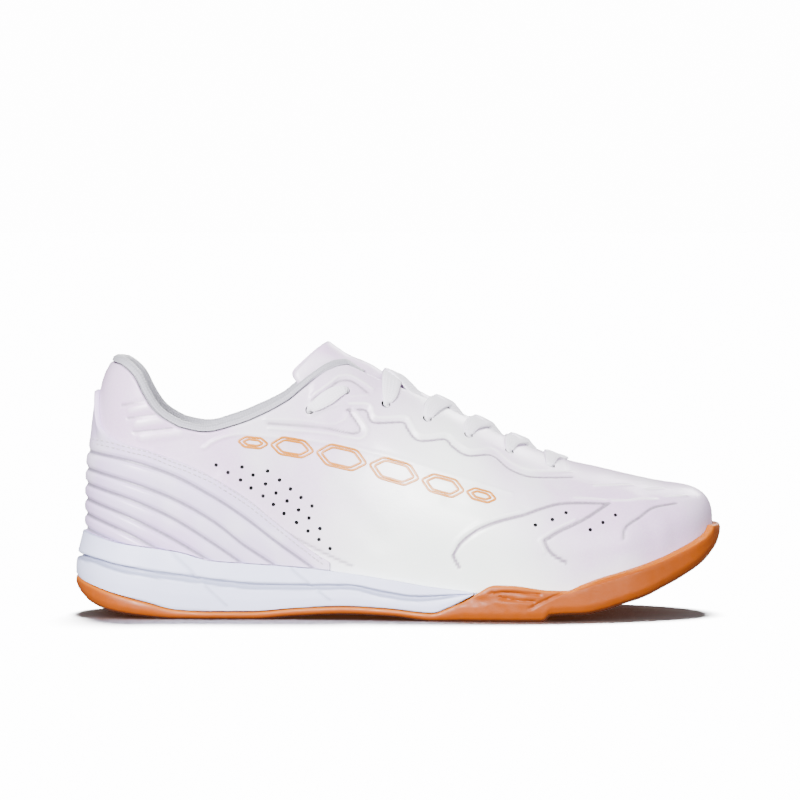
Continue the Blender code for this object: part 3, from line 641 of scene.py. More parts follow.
def curve_through(points, step):
    """Points at even steps on a smooth curve through the given ones, of any dimension."""
    points = np.array(points, float)
    ends = np.vstack([2 * points[0] - points[1], points, 2 * points[-1] - points[-2]])
    lengths = np.linalg.norm(np.diff(points, axis=0), axis=1)
    found = []
    for i in range(len(points) - 1):
        a, b, c, d = ends[i:i + 4]
        count = max(2, int(round(lengths[i] / step)))
        found += [between(a, b, c, d, t) for t in np.arange(count) / count]
    found.append(points[-1])
    return np.array(found)


def side_column(side, x, z):
    """Column whose wall passes a place along the shoe at a height."""
    low, high = 0.0, 3.0
    for _ in range(18):
        middle = (low + high) / 2
        if Column(side, middle).at(z)[0] < x:
            low = middle
        else:
            high = middle
    return Column(side, (low + high) / 2)


def on_side(side, x, z, depth=0.0):
    """Point of the upper's face seen at a place and a height, and its outward normal."""
    column = side_column(side, x, z)
    reach = 0.03
    here = np.array(column.at(z, depth))
    back = np.array(Column(side, max(0.0, column.u - reach)).at(z, depth))
    ahead = np.array(Column(side, min(3.0, column.u + reach)).at(z, depth))
    up = np.array(column.at(z + 0.6, depth)) - np.array(column.at(z - 0.6, depth))
    normal = np.cross(ahead - back, up) * -SIGN[side]
    return here, normal / np.linalg.norm(normal)


def fine_marks():
    """The outline's parameters of the fine surface's columns, heel to toe."""
    heel = [i / HEEL_FINE for i in range(HEEL_FINE)]
    along = [1.0 + i / SIDE_FINE for i in range(SIDE_FINE)]
    toe = [2.0 + i / TOE_FINE for i in range(TOE_FINE + 1)]
    marks = heel + along + toe
    for x in (RIM_END, THROAT_END + 0.8):
        exact = station(x)
        nearest = min(range(len(marks)), key=lambda i: abs(marks[i] - exact))
        marks[nearest] = exact
    return marks


FINE = fine_marks()
FINE_COLUMNS = [[Column(side, u) for u in FINE] for side in (LATERAL, MEDIAL)]


def outward(grid, side):
    """Unit normals of one side's grid, pointing out of the shoe."""
    normal = np.cross(np.gradient(grid, axis=0), np.gradient(grid, axis=1)) * -SIGN[side]
    size = np.linalg.norm(normal, axis=2, keepdims=True)
    return normal / np.maximum(size, 1e-9)


def smoothstep(value, low, high):
    t = np.clip((value - low) / (high - low), 0.0, 1.0)
    return t * t * (3.0 - 2.0 * t)


def near(points, line, reach):
    """Distance of each point to a line of close points, at most the reach."""
    distance = np.full(len(points), reach)
    inside = np.all((points > line.min(0) - reach) & (points < line.max(0) + reach), axis=1)
    picked = np.nonzero(inside)[0]
    for start in range(0, len(picked), 4000):
        some = picked[start:start + 4000]
        gaps = np.linalg.norm(points[some][:, None] - line[None], axis=2)
        distance[some] = np.minimum(gaps.min(axis=1), reach)
    return distance


def raised(points, side, lines):
    """Height of the embossed lines at each point of one side."""
    height = np.zeros(len(points))
    for rise, half, spots in lines:
        flat = curve_through(photo(spots), 2.2)
        line = np.array([on_side(side, x, z)[0] for x, z in flat])
        line = curve_through(line, 0.5)
        t = near(points, line, half) / half
        height += rise * (1.0 - t * t) ** 2
    return height


def lengths_along(grid, axis):
    """Running length over a grid in one direction, as an average over the other."""
    sizes = np.linalg.norm(np.diff(grid, axis=axis), axis=2).mean(axis=1 - axis)
    return np.concatenate([[0.0], np.cumsum(sizes)])


def build_mesh(name, grids, faces=()):
    """Mesh of grids in millimetres, each with a material number, and of single faces.

    Corners that fall together are welded, and each point keeps its run over its own grid as
    the attribute weave, in metres. A grid's own shares, such as the painted shade of a groove,
    become attributes of the points.
    """
    corners, cells, slots, weave = [], [], [], []
    total = 0
    names = sorted({key for grid in grids for key in (grid[2] if len(grid) > 2 else {})})
    shares = {key: [] for key in names}
    for grid, slot, *own in grids:
        for key in names:
            share = own[0].get(key) if own else None
            size = np.asarray(grid).shape[:2]
            shares[key].append((np.zeros(size) if share is None else share).ravel())
        grid = np.asarray(grid, float)
        n, m = grid.shape[:2]
        corners.append(grid.reshape(-1, 3))
        along, across = np.meshgrid(lengths_along(grid, 0), lengths_along(grid, 1), indexing="ij")
        weave.append(np.stack([along, across, np.zeros_like(along)], axis=2).reshape(-1, 3))
        index = np.arange(n * m).reshape(n, m) + total
        quads = np.stack([index[:-1, :-1], index[1:, :-1], index[1:, 1:], index[:-1, 1:]], axis=2)
        cells += quads.reshape(-1, 4).tolist()
        slots += [slot] * ((n - 1) * (m - 1))
        total += n * m
    for ring, slot in faces:
        ring = np.asarray(ring, float)
        corners.append(ring)
        weave.append(ring * 1.0)
        for key in names:
            shares[key].append(np.zeros(len(ring)))
        cells.append(list(range(total, total + len(ring))))
        slots.append(slot)
        total += len(ring)
    points = np.vstack(corners)
    points = (points - np.array([LENGTH / 2, 0.0, 0.0])) * MM
    mesh = bpy.data.meshes.new(name)
    mesh.from_pydata(points.tolist(), [], cells)
    mesh.polygons.foreach_set("material_index", slots)
    layer = mesh.attributes.new("weave", "FLOAT_VECTOR", "POINT")
    layer.data.foreach_set("vector", (np.vstack(weave) * MM).ravel().astype(np.float32))
    for key in names:
        layer = mesh.attributes.new(key, "FLOAT", "POINT")
        layer.data.foreach_set("value", np.concatenate(shares[key]).astype(np.float32))
    work = bmesh.new()
    work.from_mesh(mesh)
    bmesh.ops.remove_doubles(work, verts=work.verts, dist=2e-6)
    bmesh.ops.dissolve_degenerate(work, edges=work.edges, dist=1e-7)
    bmesh.ops.recalc_face_normals(work, faces=work.faces)
    work.to_mesh(mesh)
    work.free()
    mesh.shade_smooth()
    return mesh


def place_piece(name, mesh, materials, nodes, sharp=50.0):
    """Puts a finished mesh in the scene as a piece of the shoe."""
    mesh.set_sharp_from_angle(angle=math.radians(sharp))
    piece = bpy.data.objects.new(name, mesh)
    bpy.context.scene.collection.objects.link(piece)
    mesh.materials.clear()
    for material in materials:
        mesh.materials.append(material)
    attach(piece, "root")
    if nodes:
        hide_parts(*nodes)
    return piece


def softened(points, radius, parts=3):
    """Open section with each inner corner turned into a short arc."""
    points = np.array(points, float)
    found = [points[0]]
    for before, corner, after in zip(points, points[1:], points[2:]):
        into, out = before - corner, after - corner
        a, b = np.linalg.norm(into), np.linalg.norm(out)
        cut = min(radius, a * 0.45, b * 0.45)
        start = corner + into / max(a, 1e-9) * cut
        end = corner + out / max(b, 1e-9) * cut
        for t in np.linspace(0.0, 1.0, parts):
            found.append(start * (1 - t) ** 2 + corner * 2 * t * (1 - t) + end * t * t)
    found.append(points[-1])
    return np.array(found)


def deselect():
    for other in bpy.context.selected_objects:
        other.select_set(False)


# Lines and hollows pressed into the sides of the sole, in photo pixels
FOAM_LINES = (
    ((168, 553), (185, 568), (205, 588), (226, 607)),
    ((292, 572), (310, 586), (330, 601)),
    ((282, 560), (292, 572)),
)
GUM_LINES = (
    ((530, 608), (541, 602), (556, 595), (566, 590), (577, 587), (591, 584), (620, 576), (649, 567),
     (669, 560), (683, 554), (697, 548), (709, 541)),
    ((490, 593), (511, 592), (540, 594)),
    ((500, 597), (517, 600), (534, 601)),
)
GUM_HOLLOWS = (
    ((507, 596), (9.0, 3.0), 0.9),
    ((470, 600), (12.0, 3.2), 0.6),
)
SOLE_HALF = 44.0  # how far the sole's side is from the middle plane there
SOLE_ROWS = 34
TREAD_ACROSS = 110
TREAD_PITCH = 7.5
TREAD_LANE = 19.0
TREAD_PIVOTS = ((205.0, 2.0, 15.0), (52.0, 0.0, 10.0))

# Finer shape of the sole's sides
SKIN_TURN = 0.7  # radius of the foam's corners, of the gum's, and points in each arc
GUM_ROUND = 0.8
ARC_POINTS = 6
BAND_SEEN = (0.3, 1.4)  # height of the band at which its shade begins and is full
BAND_SOFT = 0.5  # how softly the shade ends, and how far past the band it reaches
BAND_PAST = 0.7
BAND_CLEAR = 1.0  # least height of the shade over the gum
# Half width and depth of the foam's pressed lines, and the share of painted shade in them
FOAM_HALF, FOAM_DEEP, FOAM_SHADE = 0.9, 0.45, 0.6
GUM_HALF, GUM_DEEP = 1.0, 0.8
GUM_EDGE = (1.5, 0.5)  # how far below the gum's top edge its paler tint begins and is full
GUM_INNER = 0.8  # how far the tread's border reaches in past the bevel

# Wavy bars of the tread: swing, its length along the bars, soft limits of the cuts
WAVE_SWING = 1.6
WAVE_LENGTH = 9.0
WAVE_SHARE = 2.0
ROW_CUT = (0.72, 0.86)
LANE_CUT = (0.86, 0.95)
RING_PITCH = 4.2
RING_CUT = (0.55, 0.75)
WAIST = (92.0, 98.0, 146.0, 152.0)
TREAD_PALER = 0.45  # share of the paler tint on the bars

# Sizes shared with the solids
GUM_TIP = 38.8  # height that the gum's top edge reaches at the toe
BAND_NOTCH = 0.5
HEEL_BAND = 1.3  # how much deeper the band is round the heel
FOAM_OVER = -0.8
FOAM_UNDER = -0.4
FOAM_FOOT = -0.2
LIP = 2.2
GUM_STEP = 9.0
GUM_TURN = 0.14
GUM_SIDE = 0.42
GUM_SHOULDER = 0.24
GUM_BEVEL = -3.5
GUM_CORNER = -1.0
GUM_TOP = -0.5

# The lace: depth of its middle at the lower and upper strand of a crossing, and how far each
# crossing leans forward of its eyelets
LACE_LOW = -0.9
LACE_HIGH = -2.5
LEANS = (3.5, 8.0, 8.0, 6.0, 4.5)
LACE_HELD = -0.5  # depth of its middle at the first crossing's quarter
LACE_UNDER = 2.6  # and where it crosses under the eyestay
LACE_OVER = -1.6  # and where it comes up beside the next eyelet
LACE_QUARTER = 0.62  # share of the throat's half at which it leaves the ridge
LACE_TUCK = 0.58  # share at which it passes under the eyestay's edge
LACE_BACK = 1.5  # how far those two spots lie behind the eyelet
LACE_TUCK_BACK = 3.5
LACE_RING = 14  # corners of its section
LACE_FLAT = 0.7  # powers that flatten its section, across and through
LACE_SQUARE = 0.55
LACE_STEP = 0.8

# Strand that goes down an eyelet: place and height beside the eyelet, depth, width
LACE_DOWN = (
    (1.2, 2.6, -1.5, 6.6),
    (0.0, 0.2, -0.3, 3.6),
    (0.0, 1.5, 3.4, 5.0),
)

# Run through the two top eyelets, which are 1 and 0: the two eyelets that a spot lies halfway
# between, shift ahead and up, depth, width
LACE_RUN = (
    (2, 1, 0.0, 2.0, 3.6, 6.0),
    (1, 1, 0.0, 0.3, 3.0, 4.0),
    (1, 1, 0.0, 0.0, -0.4, 3.6),
    (1, 1, -3.0, -1.2, -1.5, 5.4),
    (1, 0, 0.0, 0.2, -1.6, 6.6),
    (0, 0, 3.0, 1.4, -1.5, 5.4),
    (0, 0, 0.0, 0.0, -0.4, 3.6),
    (0, 0, 0.0, 0.0, 2.6, 4.0),
    (0, 0, -3.0, -3.0, 3.4, 6.0),
)
TONGUE_BULGE = 2.7
ROLL_FRONT = 124.0  # where the collar's band ends beside the tongue


def chosen_size(name):
    """A size from the panel, in millimetres."""
    return getattr(bpy.context.scene.shoe_sizes, name) / MM


def chosen_colour(name):
    """A colour from the panel."""
    return tuple(getattr(bpy.context.scene.shoe_colours, name))


class Finish:
    """A material while its nodes are put together."""

    def __init__(self, name, color, roughness, **values):
        self.material = bpy.data.materials.new(name)
        self.material.use_nodes = True
        self.tree = self.material.node_tree
        self.shader = self.tree.nodes["Principled BSDF"]
        self.shader.inputs["Base Color"].default_value = (*color, 1.0)
        self.shader.inputs["Roughness"].default_value = roughness
        for key, value in values.items():
            self.shader.inputs[key.replace("_", " ")].default_value = value
        self.normal = None

    def add(self, kind, **values):
        node = self.tree.nodes.new(kind)
        for key, value in values.items():
            setattr(node, key, value)
        return node

    def link(self, source, target):
        self.tree.links.new(source, target)

    def place(self):
        return self.add("ShaderNodeTexCoord").outputs["Object"]

    def attribute(self, name):
        return self.add("ShaderNodeAttribute", attribute_name=name)

    def over(self, vector, node, output, scale):
        """Output of a node that reads a vector at a scale."""
        self.link(vector, node.inputs["Vector"])
        node.inputs["Scale"].default_value = scale
        return node.outputs[output]

    def scaled(self, vector, scale):
        return self.over(vector, self.add("ShaderNodeMapping"), "Vector", scale)

    def noise(self, vector, scale, detail=2.0, rough=0.5):
        node = self.add("ShaderNodeTexNoise")
        node.inputs["Detail"].default_value = detail
        node.inputs["Roughness"].default_value = rough
        return self.over(vector, node, "Fac", scale)

    def grain(self, vector, scale):
        return self.over(vector, self.add("ShaderNodeTexVoronoi", feature="F1"), "Distance", scale)

    def wave(self, vector, scale, direction):
        node = self.add("ShaderNodeTexWave", bands_direction=direction)
        return self.over(vector, node, "Fac", scale)

    def math(self, operation, first, second=None):
        node = self.add("ShaderNodeMath", operation=operation)
        for socket, value in zip(node.inputs, (first, second)):
            if value is None:
                continue
            if isinstance(value, (int, float)):
                socket.default_value = value
            else:
                self.link(value, socket)
        return node.outputs[0]

    def ramp(self, fac, *stops):
        node = self.add("ShaderNodeValToRGB")
        self.link(fac, node.inputs["Fac"])
        points = node.color_ramp.elements
        while len(points) < len(stops):
            points.new(0.5)
        for point, (place, color) in zip(points, stops):
            point.position = place
            if isinstance(color, (int, float)):
                color = (color, color, color)
            point.color = (*color, 1.0)
        return node.outputs["Color"]

    def span(self, value, low, high, start=0.0, end=1.0):
        node = self.add("ShaderNodeMapRange", interpolation_type="SMOOTHSTEP")
        self.link(value, node.inputs["Value"])
        for key, number in (("From Min", low), ("From Max", high), ("To Min", start), ("To Max", end)):
            node.inputs[key].default_value = number
        return node.outputs["Result"]

    def mix(self, fac, first, second):
        node = self.add("ShaderNodeMix", data_type="RGBA")
        colors = [socket for socket in node.inputs if socket.type == "RGBA"]
        for socket, value in zip([node.inputs["Factor"]] + colors, (fac, first, second)):
            if isinstance(value, (int, float)):
                socket.default_value = value
            elif isinstance(value, tuple):
                socket.default_value = (*value, 1.0)
            else:
                self.link(value, socket)
        return [socket for socket in node.outputs if socket.type == "RGBA"][0]

    def color(self, source):
        self.link(source, self.shader.inputs["Base Color"])

    def roughness(self, source):
        self.link(source, self.shader.inputs["Roughness"])

    def bump(self, height, strength, distance):
        node = self.add("ShaderNodeBump")
        node.inputs["Strength"].default_value = strength
        node.inputs["Distance"].default_value = distance
        self.link(height, node.inputs["Height"])
        if self.normal:
            self.link(self.normal, node.inputs["Normal"])
        self.normal = node.outputs["Normal"]
        self.link(self.normal, self.shader.inputs["Normal"])


def pearl(name, base, pale, tint, grain=1.0):
    """Pearly synthetic: lilac with slow drifts of rose and a faint green, a near white painted pearly
    sheen over the middle of the side panel, painted shade in grooves, a painted highlight on raised
    lines and edges, and a fine grain.
    """
    made = Finish(name, base, 0.36, Coat_Weight=0.22, Coat_Roughness=0.28,
                  Sheen_Weight=0.08, Sheen_Roughness=0.5)
    place = made.place()
    # Painted pearly sheen: near white over the middle of the side panel and low down, turning lilac
    # towards the heel, the toe and the top
    axes = made.add("ShaderNodeSeparateXYZ")
    made.link(place, axes.inputs["Vector"])
    drift = made.noise(place, 16.0, 3.0)
    middle = made.math("ABSOLUTE", made.math("SUBTRACT", axes.outputs["X"], SHEEN_MIDDLE * MM))
    middle = made.math("ADD", middle, made.math("MULTIPLY", axes.outputs["Z"], 0.8))
    middle = made.math("ADD", middle, made.math("MULTIPLY", drift, 0.045))
    sheen_share = made.span(middle, 0.065, 0.135, 1.0, 0.0)
    lilac = made.mix(sheen_share, base, pale)
    green = made.span(made.noise(place, 31.0, 2.0), 0.50, 0.68, 0.0, 0.55)
    rose = made.span(made.noise(made.scaled(place, (1.0, 1.0, 0.6)), 21.0, 2.0), 0.46, 0.62, 0.0, 0.8)
    rose = made.math("MULTIPLY", rose, made.math("SUBTRACT", 1.0, sheen_share))
    lilac = made.mix(rose, lilac, (base[0] * 0.97, base[1] * 0.84, base[2] * 0.98))
    shade = made.mix(made.math("MULTIPLY", green, 0.6), lilac, tint)
    # Painted shade darkens the grooves and a painted highlight lightens the raised lines and the
    # counter's top edge
    relief = made.attribute("relief").outputs["Fac"]
    groove = made.span(relief, 0.0, -0.45, 0.0, 1.0)
    rail = made.span(relief, 0.1, 0.6, 0.0, 0.6)
    shade = made.mix(groove, shade, tuple(c * 0.36 for c in base))
    shade = made.mix(rail, shade, tuple(min(1.0, c * 1.08) for c in pale))
    speck = made.span(made.noise(place, 900.0, 1.0), 0.35, 0.7, 0.0, 0.10)
    made.color(made.mix(speck, shade, pale))
    made.roughness(made.span(made.noise(place, 55.0, 4.0), 0.3, 0.7, 0.31, 0.43))
    made.bump(made.grain(place, 950.0), 0.10 * grain, 0.0003)
    made.bump(made.noise(place, 2600.0, 2.0), 0.10 * grain, 0.0002)
    made.bump(made.noise(place, 120.0, 3.0), 0.12 * grain, 0.0012)
    return made.material


def pearl_material():
    return pearl("pearl synthetic", chosen_colour("lilac"), chosen_colour("pale"), chosen_colour("green"))


def counter_material():
    return pearl("ribbed pearl", chosen_colour("rib"), chosen_colour("lilac"), chosen_colour("pale"), 0.8)


def dark_material():
    made = Finish("hole shade", (0.006, 0.006, 0.008), 0.9)
    made.roughness(made.span(made.noise(made.place(), 900.0), 0.3, 0.7, 0.8, 1.0))
    return made.material


def inner_material():
    """Cut edge and backing of the synthetic: dull, felted."""
    made = Finish("backing felt", (0.30, 0.30, 0.34), 0.85, Sheen_Weight=0.2)
    place = made.place()
    felt = made.noise(place, 700.0, 3.0)
    made.color(made.ramp(felt, (0.3, (0.26, 0.26, 0.30)), (0.7, (0.36, 0.36, 0.41))))
    made.bump(made.noise(place, 1500.0, 3.0), 0.4, 0.0004)
    return made.material


def foam_material():
    """Moulded foam with a fine skin, and a greyer painted shade in its recessed band and pressed lines.
    """
    foam = chosen_colour("foam")
    made = Finish("midsole foam", foam, 0.5, Coat_Weight=0.06, Coat_Roughness=0.4)
    place = made.place()
    drift = made.noise(place, 22.0, 3.0)
    plain = made.mix(made.span(drift, 0.3, 0.7, 0.0, 0.6), foam, tuple(c * 0.93 for c in foam))
    # Painted shade: the band colour darkens the recessed band and the pressed lines
    band = made.attribute("band").outputs["Fac"]
    made.color(made.mix(band, plain, chosen_colour("band")))
    made.roughness(made.span(made.noise(place, 240.0, 4.0), 0.3, 0.7, 0.42, 0.6))
    made.bump(made.grain(place, 2100.0), 0.16, 0.0002)
    made.bump(made.noise(place, 420.0, 3.0), 0.08, 0.0005)
    return made.material


def gum_material():
    """Gum rubber: translucent looking amber, paler towards its top edge and on the tread's bars, and
    scuffed under the ball.
    """
    gum, edge = chosen_colour("gum"), chosen_colour("gum_edge")
    made = Finish("gum rubber", gum, 0.5, Specular_IOR_Level=0.3)
    place = made.place()
    drift = made.noise(place, 28.0, 4.0)
    plain = made.mix(made.span(drift, 0.3, 0.7, 0.0, 0.8), gum, tuple(c * 0.80 for c in gum))
    # Paler tint towards the gum's top edge and on the tread's bars
    paler_share = made.attribute("edge").outputs["Fac"]
    shade = made.mix(paler_share, plain, edge)
    rubbed = made.noise(made.scaled(place, (1.0, 1.0, 6.0)), 260.0, 5.0, 0.65)
    scuff = made.span(rubbed, 0.62, 0.78, 0.0, 0.35)
    made.color(made.mix(scuff, shade, chosen_colour("gum_edge")))
    made.roughness(made.span(made.noise(place, 300.0, 4.0), 0.3, 0.7, 0.34, 0.58))
    made.bump(made.noise(place, 1300.0, 3.0), 0.14, 0.0003)
    made.bump(made.noise(place, 160.0, 3.0), 0.10, 0.0008)
    return made.material


def woven(name, color, dark, pitch, deep, sheen, roughness):
    """Cloth woven along the piece's own surface: threads of a pitch in millimetres, crossing."""
    made = Finish(name, color, roughness, Sheen_Weight=sheen, Sheen_Roughness=0.35)
    vector = made.attribute("weave").outputs["Vector"]
    scale = 1000.0 / pitch / 10.0
    along = made.wave(vector, scale, "X")
    across = made.wave(vector, scale, "Y")
    check = made.math("MAXIMUM", along, across)
    hollow = made.math("MULTIPLY", along, across)
    fuzz = made.noise(made.place(), 1800.0, 3.0)
    soil = made.noise(made.place(), 40.0, 3.0)
    shade = made.mix(made.span(hollow, 0.0, 0.55, 0.0, 0.9), dark, color)
    shade = made.mix(made.span(soil, 0.35, 0.7, 0.0, 0.25), shade, dark)
    made.color(made.mix(made.span(fuzz, 0.3, 0.7, 0.0, 0.3), shade, color))
    made.roughness(made.span(fuzz, 0.3, 0.7, roughness - 0.08, min(1.0, roughness + 0.1)))
    made.bump(made.math("ADD", check, hollow), 0.55, deep)
    made.bump(fuzz, 0.25, deep)
    return made.material


def lining_material():
    """Grey satin of the collar, the lining and the insole."""
    lining = chosen_colour("lining")
    return woven("satin lining", lining, tuple(c * 0.78 for c in lining), 0.36, 0.00015, 0.35, 0.5)


def lace_material():
    """Flat woven lace, a little off white."""
    lace = chosen_colour("lace")
    return woven("flat lace weave", lace, tuple(c * 0.92 for c in lace), 0.42, 0.00014, 0.2, 0.72)


def thread_material():
    """Twisted thread of the stitches."""
    made = Finish("stitch thread", (0.50, 0.44, 0.53), 0.6, Sheen_Weight=0.2)
    place = made.place()
    twist = made.noise(place, 1500.0, 2.0)
    made.color(made.ramp(twist, (0.3, (0.42, 0.37, 0.45)), (0.7, (0.60, 0.53, 0.63))))
    made.bump(made.noise(place, 3000.0, 2.0), 0.4, 0.0003)
    return made.material


def gold_material():
    """Gold film along the accent, rubbed a little thin."""
    made = Finish("gold film", chosen_colour("gold"), 0.38,
                  Coat_Weight=0.2, Coat_Roughness=0.2)
    place = made.place()
    gold = chosen_colour("gold")
    made.color(made.mix(made.span(made.noise(place, 420.0, 3.0), 0.35, 0.7, 0.0, 0.5), gold,
                        tuple(c * 1.25 for c in gold)))
    made.roughness(made.span(made.noise(place, 700.0, 2.0), 0.3, 0.7, 0.3, 0.46))
    made.bump(made.noise(place, 2500.0, 2.0), 0.15, 0.0002)
    return made.material


def upper_side(side):
    """Fine outer face of one side in millimetres, with all that is embossed on it."""
    rows = []
    for column in FINE_COLUMNS[side]:
        low, start = column.levels(0.0)[:2]
        top = column.top_angle()
        line = [column.at(low + (start - low) * k / FOOT_FINE) for k in range(FOOT_FINE)]
        line += [column.arc(top * k / ARC_FINE) for k in range(ARC_FINE + 1)]
        rows.append(line)
    grid = np.array(rows)
    points = grid.reshape(-1, 3)
    x, z = points[:, 0], points[:, 2]
    # The raised lines' heights also set the pearl's painted shade in their grooves and painted highlight
    # on their rails
    lines = raised(points, side, EMBOSSED) * bpy.context.scene.shoe_sizes.line_rise
    lift = lines + raised(points, side, CREASES)
    edge = np.array([read(EYESTAY_EDGE, 1, place) for place in x])
    stay = smoothstep(z - edge, *STAY_SOFT) * smoothstep(x, *STAY_FROM)
    rise = chosen_size("stay_rise")
    lift += rise * stay * (1.0 - smoothstep(x, *STAY_TO))
    size = grid.shape[:2]
    return grid + outward(grid, side) * lift.reshape(size)[..., None], lines.reshape(size)


def shell_grids():
    """Grids of the whole shell: outer and inner faces, the rounded rim and the foot edge."""
    outer, reliefs = zip(*(upper_side(side) for side in (LATERAL, MEDIAL)))
    lateral, medial = outer
    closed = [i for i, c in enumerate(FINE_COLUMNS[0]) if c.place >= THROAT_END]
    for i in closed:
        middle = (lateral[i, -1] + medial[i, -1]) / 2
        lateral[i, -1] = medial[i, -1] = middle
    for i in (0, -1):
        middle = (lateral[i] + medial[i]) / 2
        lateral[i] = medial[i] = middle
    grids = []
    last = closed[0] + 1
    for side, grid in enumerate(outer):
        inner = []
        for column in FINE_COLUMNS[side]:
            top = column.top_angle(WALL)
            line = [column.at(column.levels(WALL)[0], WALL)]
            line += [column.arc(top * k / INNER_ROWS, WALL) for k in range(INNER_ROWS + 1)]
            inner.append(line)
        inner = np.array(inner)
        rim, up = [], grid[:last, -1] - grid[:last, -3]
        up /= np.linalg.norm(up, axis=1, keepdims=True)
        up[-2:] = 0.0
        for share, rise in RIM_ROUND:
            rim.append(grid[:last, -1] * (1 - share) + inner[:last, -1] * share + up * rise)
        foot = np.stack([grid[:, 0], inner[:, 0]], axis=1)
        # The raised lines' heights become the mask of the pearl's painted shade and highlight
        relief = {"relief": reliefs[side]}
        grids += [(grid, 0, relief), (inner, 2), (np.stack(rim, axis=1), 2), (foot, 2)]
    return grids


def hole_cutter(name, side, spots, radius, deep, parts, materials):
    """Cutter of round holes across one side's wall, for holes that end blind or run through."""
    cutter = bmesh.new()
    for x, z in photo(spots):
        point, normal = on_side(side, x, z)
        turn = Vector(normal).to_track_quat("Z", "Y").to_matrix().to_4x4()
        middle = Vector((point[0] - LENGTH / 2, point[1], point[2])) * MM
        place = turn.copy()
        place.translation = middle + Vector(normal) * (CUTTER_PROUD - deep) / 2 * MM
        bmesh.ops.create_cone(cutter, cap_ends=True, segments=parts, radius1=radius * MM,
                              radius2=radius * MM, depth=(CUTTER_PROUD + deep) * MM, matrix=place)
    for face in cutter.faces:
        face.material_index = 1
    mesh = bpy.data.meshes.new(name)
    cutter.to_mesh(mesh)
    cutter.free()
    for material in materials:
        mesh.materials.append(material)
    shape = bpy.data.objects.new(name, mesh)
    bpy.context.scene.collection.objects.link(shape)
    return shape


def cut(piece, cutter):
    """Takes the cutter's shape out of the piece and removes the cutter."""
    deselect()
    bpy.context.view_layer.objects.active = piece
    piece.select_set(True)
    modifier = piece.modifiers.new("holes", "BOOLEAN")
    modifier.operation = "DIFFERENCE"
    modifier.solver = "MANIFOLD"
    modifier.object = cutter
    bpy.ops.object.modifier_apply(modifier=modifier.name)
    bpy.data.objects.remove(cutter)


def make_shell():
    """The upper: one shell with its welded lines, the eyestays, perforations and eyelets."""
    materials = [pearl_material(), dark_material(), inner_material()]
    mesh = build_mesh("shell", shell_grids())
    piece = place_piece("upper_shell", mesh, materials,
                        ("upper", "eyestay_lateral", "eyestay_medial"), 60.0)
    for side in (LATERAL, MEDIAL):
        cut(piece, hole_cutter("dots", side, HOLES_REAR + HOLES_FRONT, chosen_size("hole"),
                               HOLE_DEPTH, HOLE_PARTS, materials))
        cut(piece, hole_cutter("eyelets", side, EYELETS, chosen_size("eyelet"),
                               EYELET_DEPTH, EYELET_PARTS, materials))
    return piece


def heel_marks(end, heel, step):
    """Parameters from the heel's rear to a place along the shoe, in close steps."""
    count = int((end - HEEL_AXIS) / step)
    along = [station(HEEL_AXIS + (end - HEEL_AXIS) * k / count) for k in range(count + 1)]
    return [k / heel for k in range(heel)] + along


def rib_profile(x, top, z, carve):
    """Height of the ribbed counter over the shell at a height, and the share of painted shade from a
    groove there.
    """
    grooves = [read(GROOVES, k, x) for k in range(1, len(GROOVES[0]))]
    rise, groove = RIB_RISE, 0.0
    for g in grooves:
        away = abs(z - g)
        rise -= carve * (1.0 - min(1.0, away / GROOVE_HALF) ** 2) ** 2
        groove = max(groove, (1.0 - min(1.0, away / GROOVE_DARK) ** 2) ** 2)
    above = [g for g in grooves if g > z]
    below = [g for g in grooves if g <= z]
    if above and below:
        t = (z - max(below)) / (min(above) - max(below))
        rise += RIB_CROWN * math.sin(t * math.pi) * min(1.0, (COUNTER_END - x) / RIB_FADE)
    edge = min(1.0, (top - z) / COUNTER_ROLL)
    rise = COUNTER_THIN + (rise - COUNTER_THIN) * math.sqrt(max(0.0, 1.0 - (1.0 - edge) ** 2))
    flare = smoothstep(z, top - FLAP_TALL, top) * (1.0 - smoothstep(x, *FLAP_FROM))
    return rise + FLAP_FLARE * flare, groove


def counter_grids():
    """Ribbed counter: outer face with rounded ribs, a rolled edge and a flat inner face."""
    grids = []
    carve = chosen_size("rib_depth")
    for side in (LATERAL, MEDIAL):
        outer, inner, painted_light = [], [], []
        for u in heel_marks(COUNTER_END, COUNTER_FAN, COUNTER_STEP):
            column = Column(side, u)
            x = column.place
            if column.fan:
                x = column.plain_foot[0] + COUNTER_BACK * (1.0 - column.u)
            low = read(SOLE, RIM_TOP, column.x) + COUNTER_LIFT
            top = max(low + COUNTER_LEAST, read(COUNTER_TOP, 1, x))
            line, back, deep = [], [], []
            for k in range(COUNTER_ROWS + 1):
                z = low + (top - low) * k / COUNTER_ROWS
                rise, groove = rib_profile(x, top, z, carve)
                # Painted highlight along its top edge and painted shade in its grooves, for the pearl's
                # colour
                edge = smoothstep(z, top - COUNTER_PALE[0], top - COUNTER_PALE[1])
                deep.append(EDGE_PALE * edge - GROOVE_SHADE * groove)
                line.append(column.at(z, -rise))
                back.append(column.at(z, -COUNTER_INNER))
            outer.append(line)
            inner.append(back[::-1])
            painted_light.append(deep)
        outer, inner = np.array(outer), np.array(inner)
        plain = inner[:, ::COUNTER_STRIDE]
        whole = np.concatenate([outer, plain, outer[:, :1]], axis=1)
        share = np.zeros(whole.shape[:2])
        share[:, :COUNTER_ROWS + 1] = painted_light
        grids.append((whole, 0, {"relief": share}))
        grids.append((np.stack([outer[-1, ::COUNTER_STRIDE], plain[-1, ::-1]], axis=1), 0))
    return grids


def make_heel_counter():
    """The ribbed counter that wraps the heel."""
    mesh = build_mesh("counter", counter_grids())
    return place_piece("heel_cup", mesh, [counter_material()],
                       ("heel_counter",), 60.0)


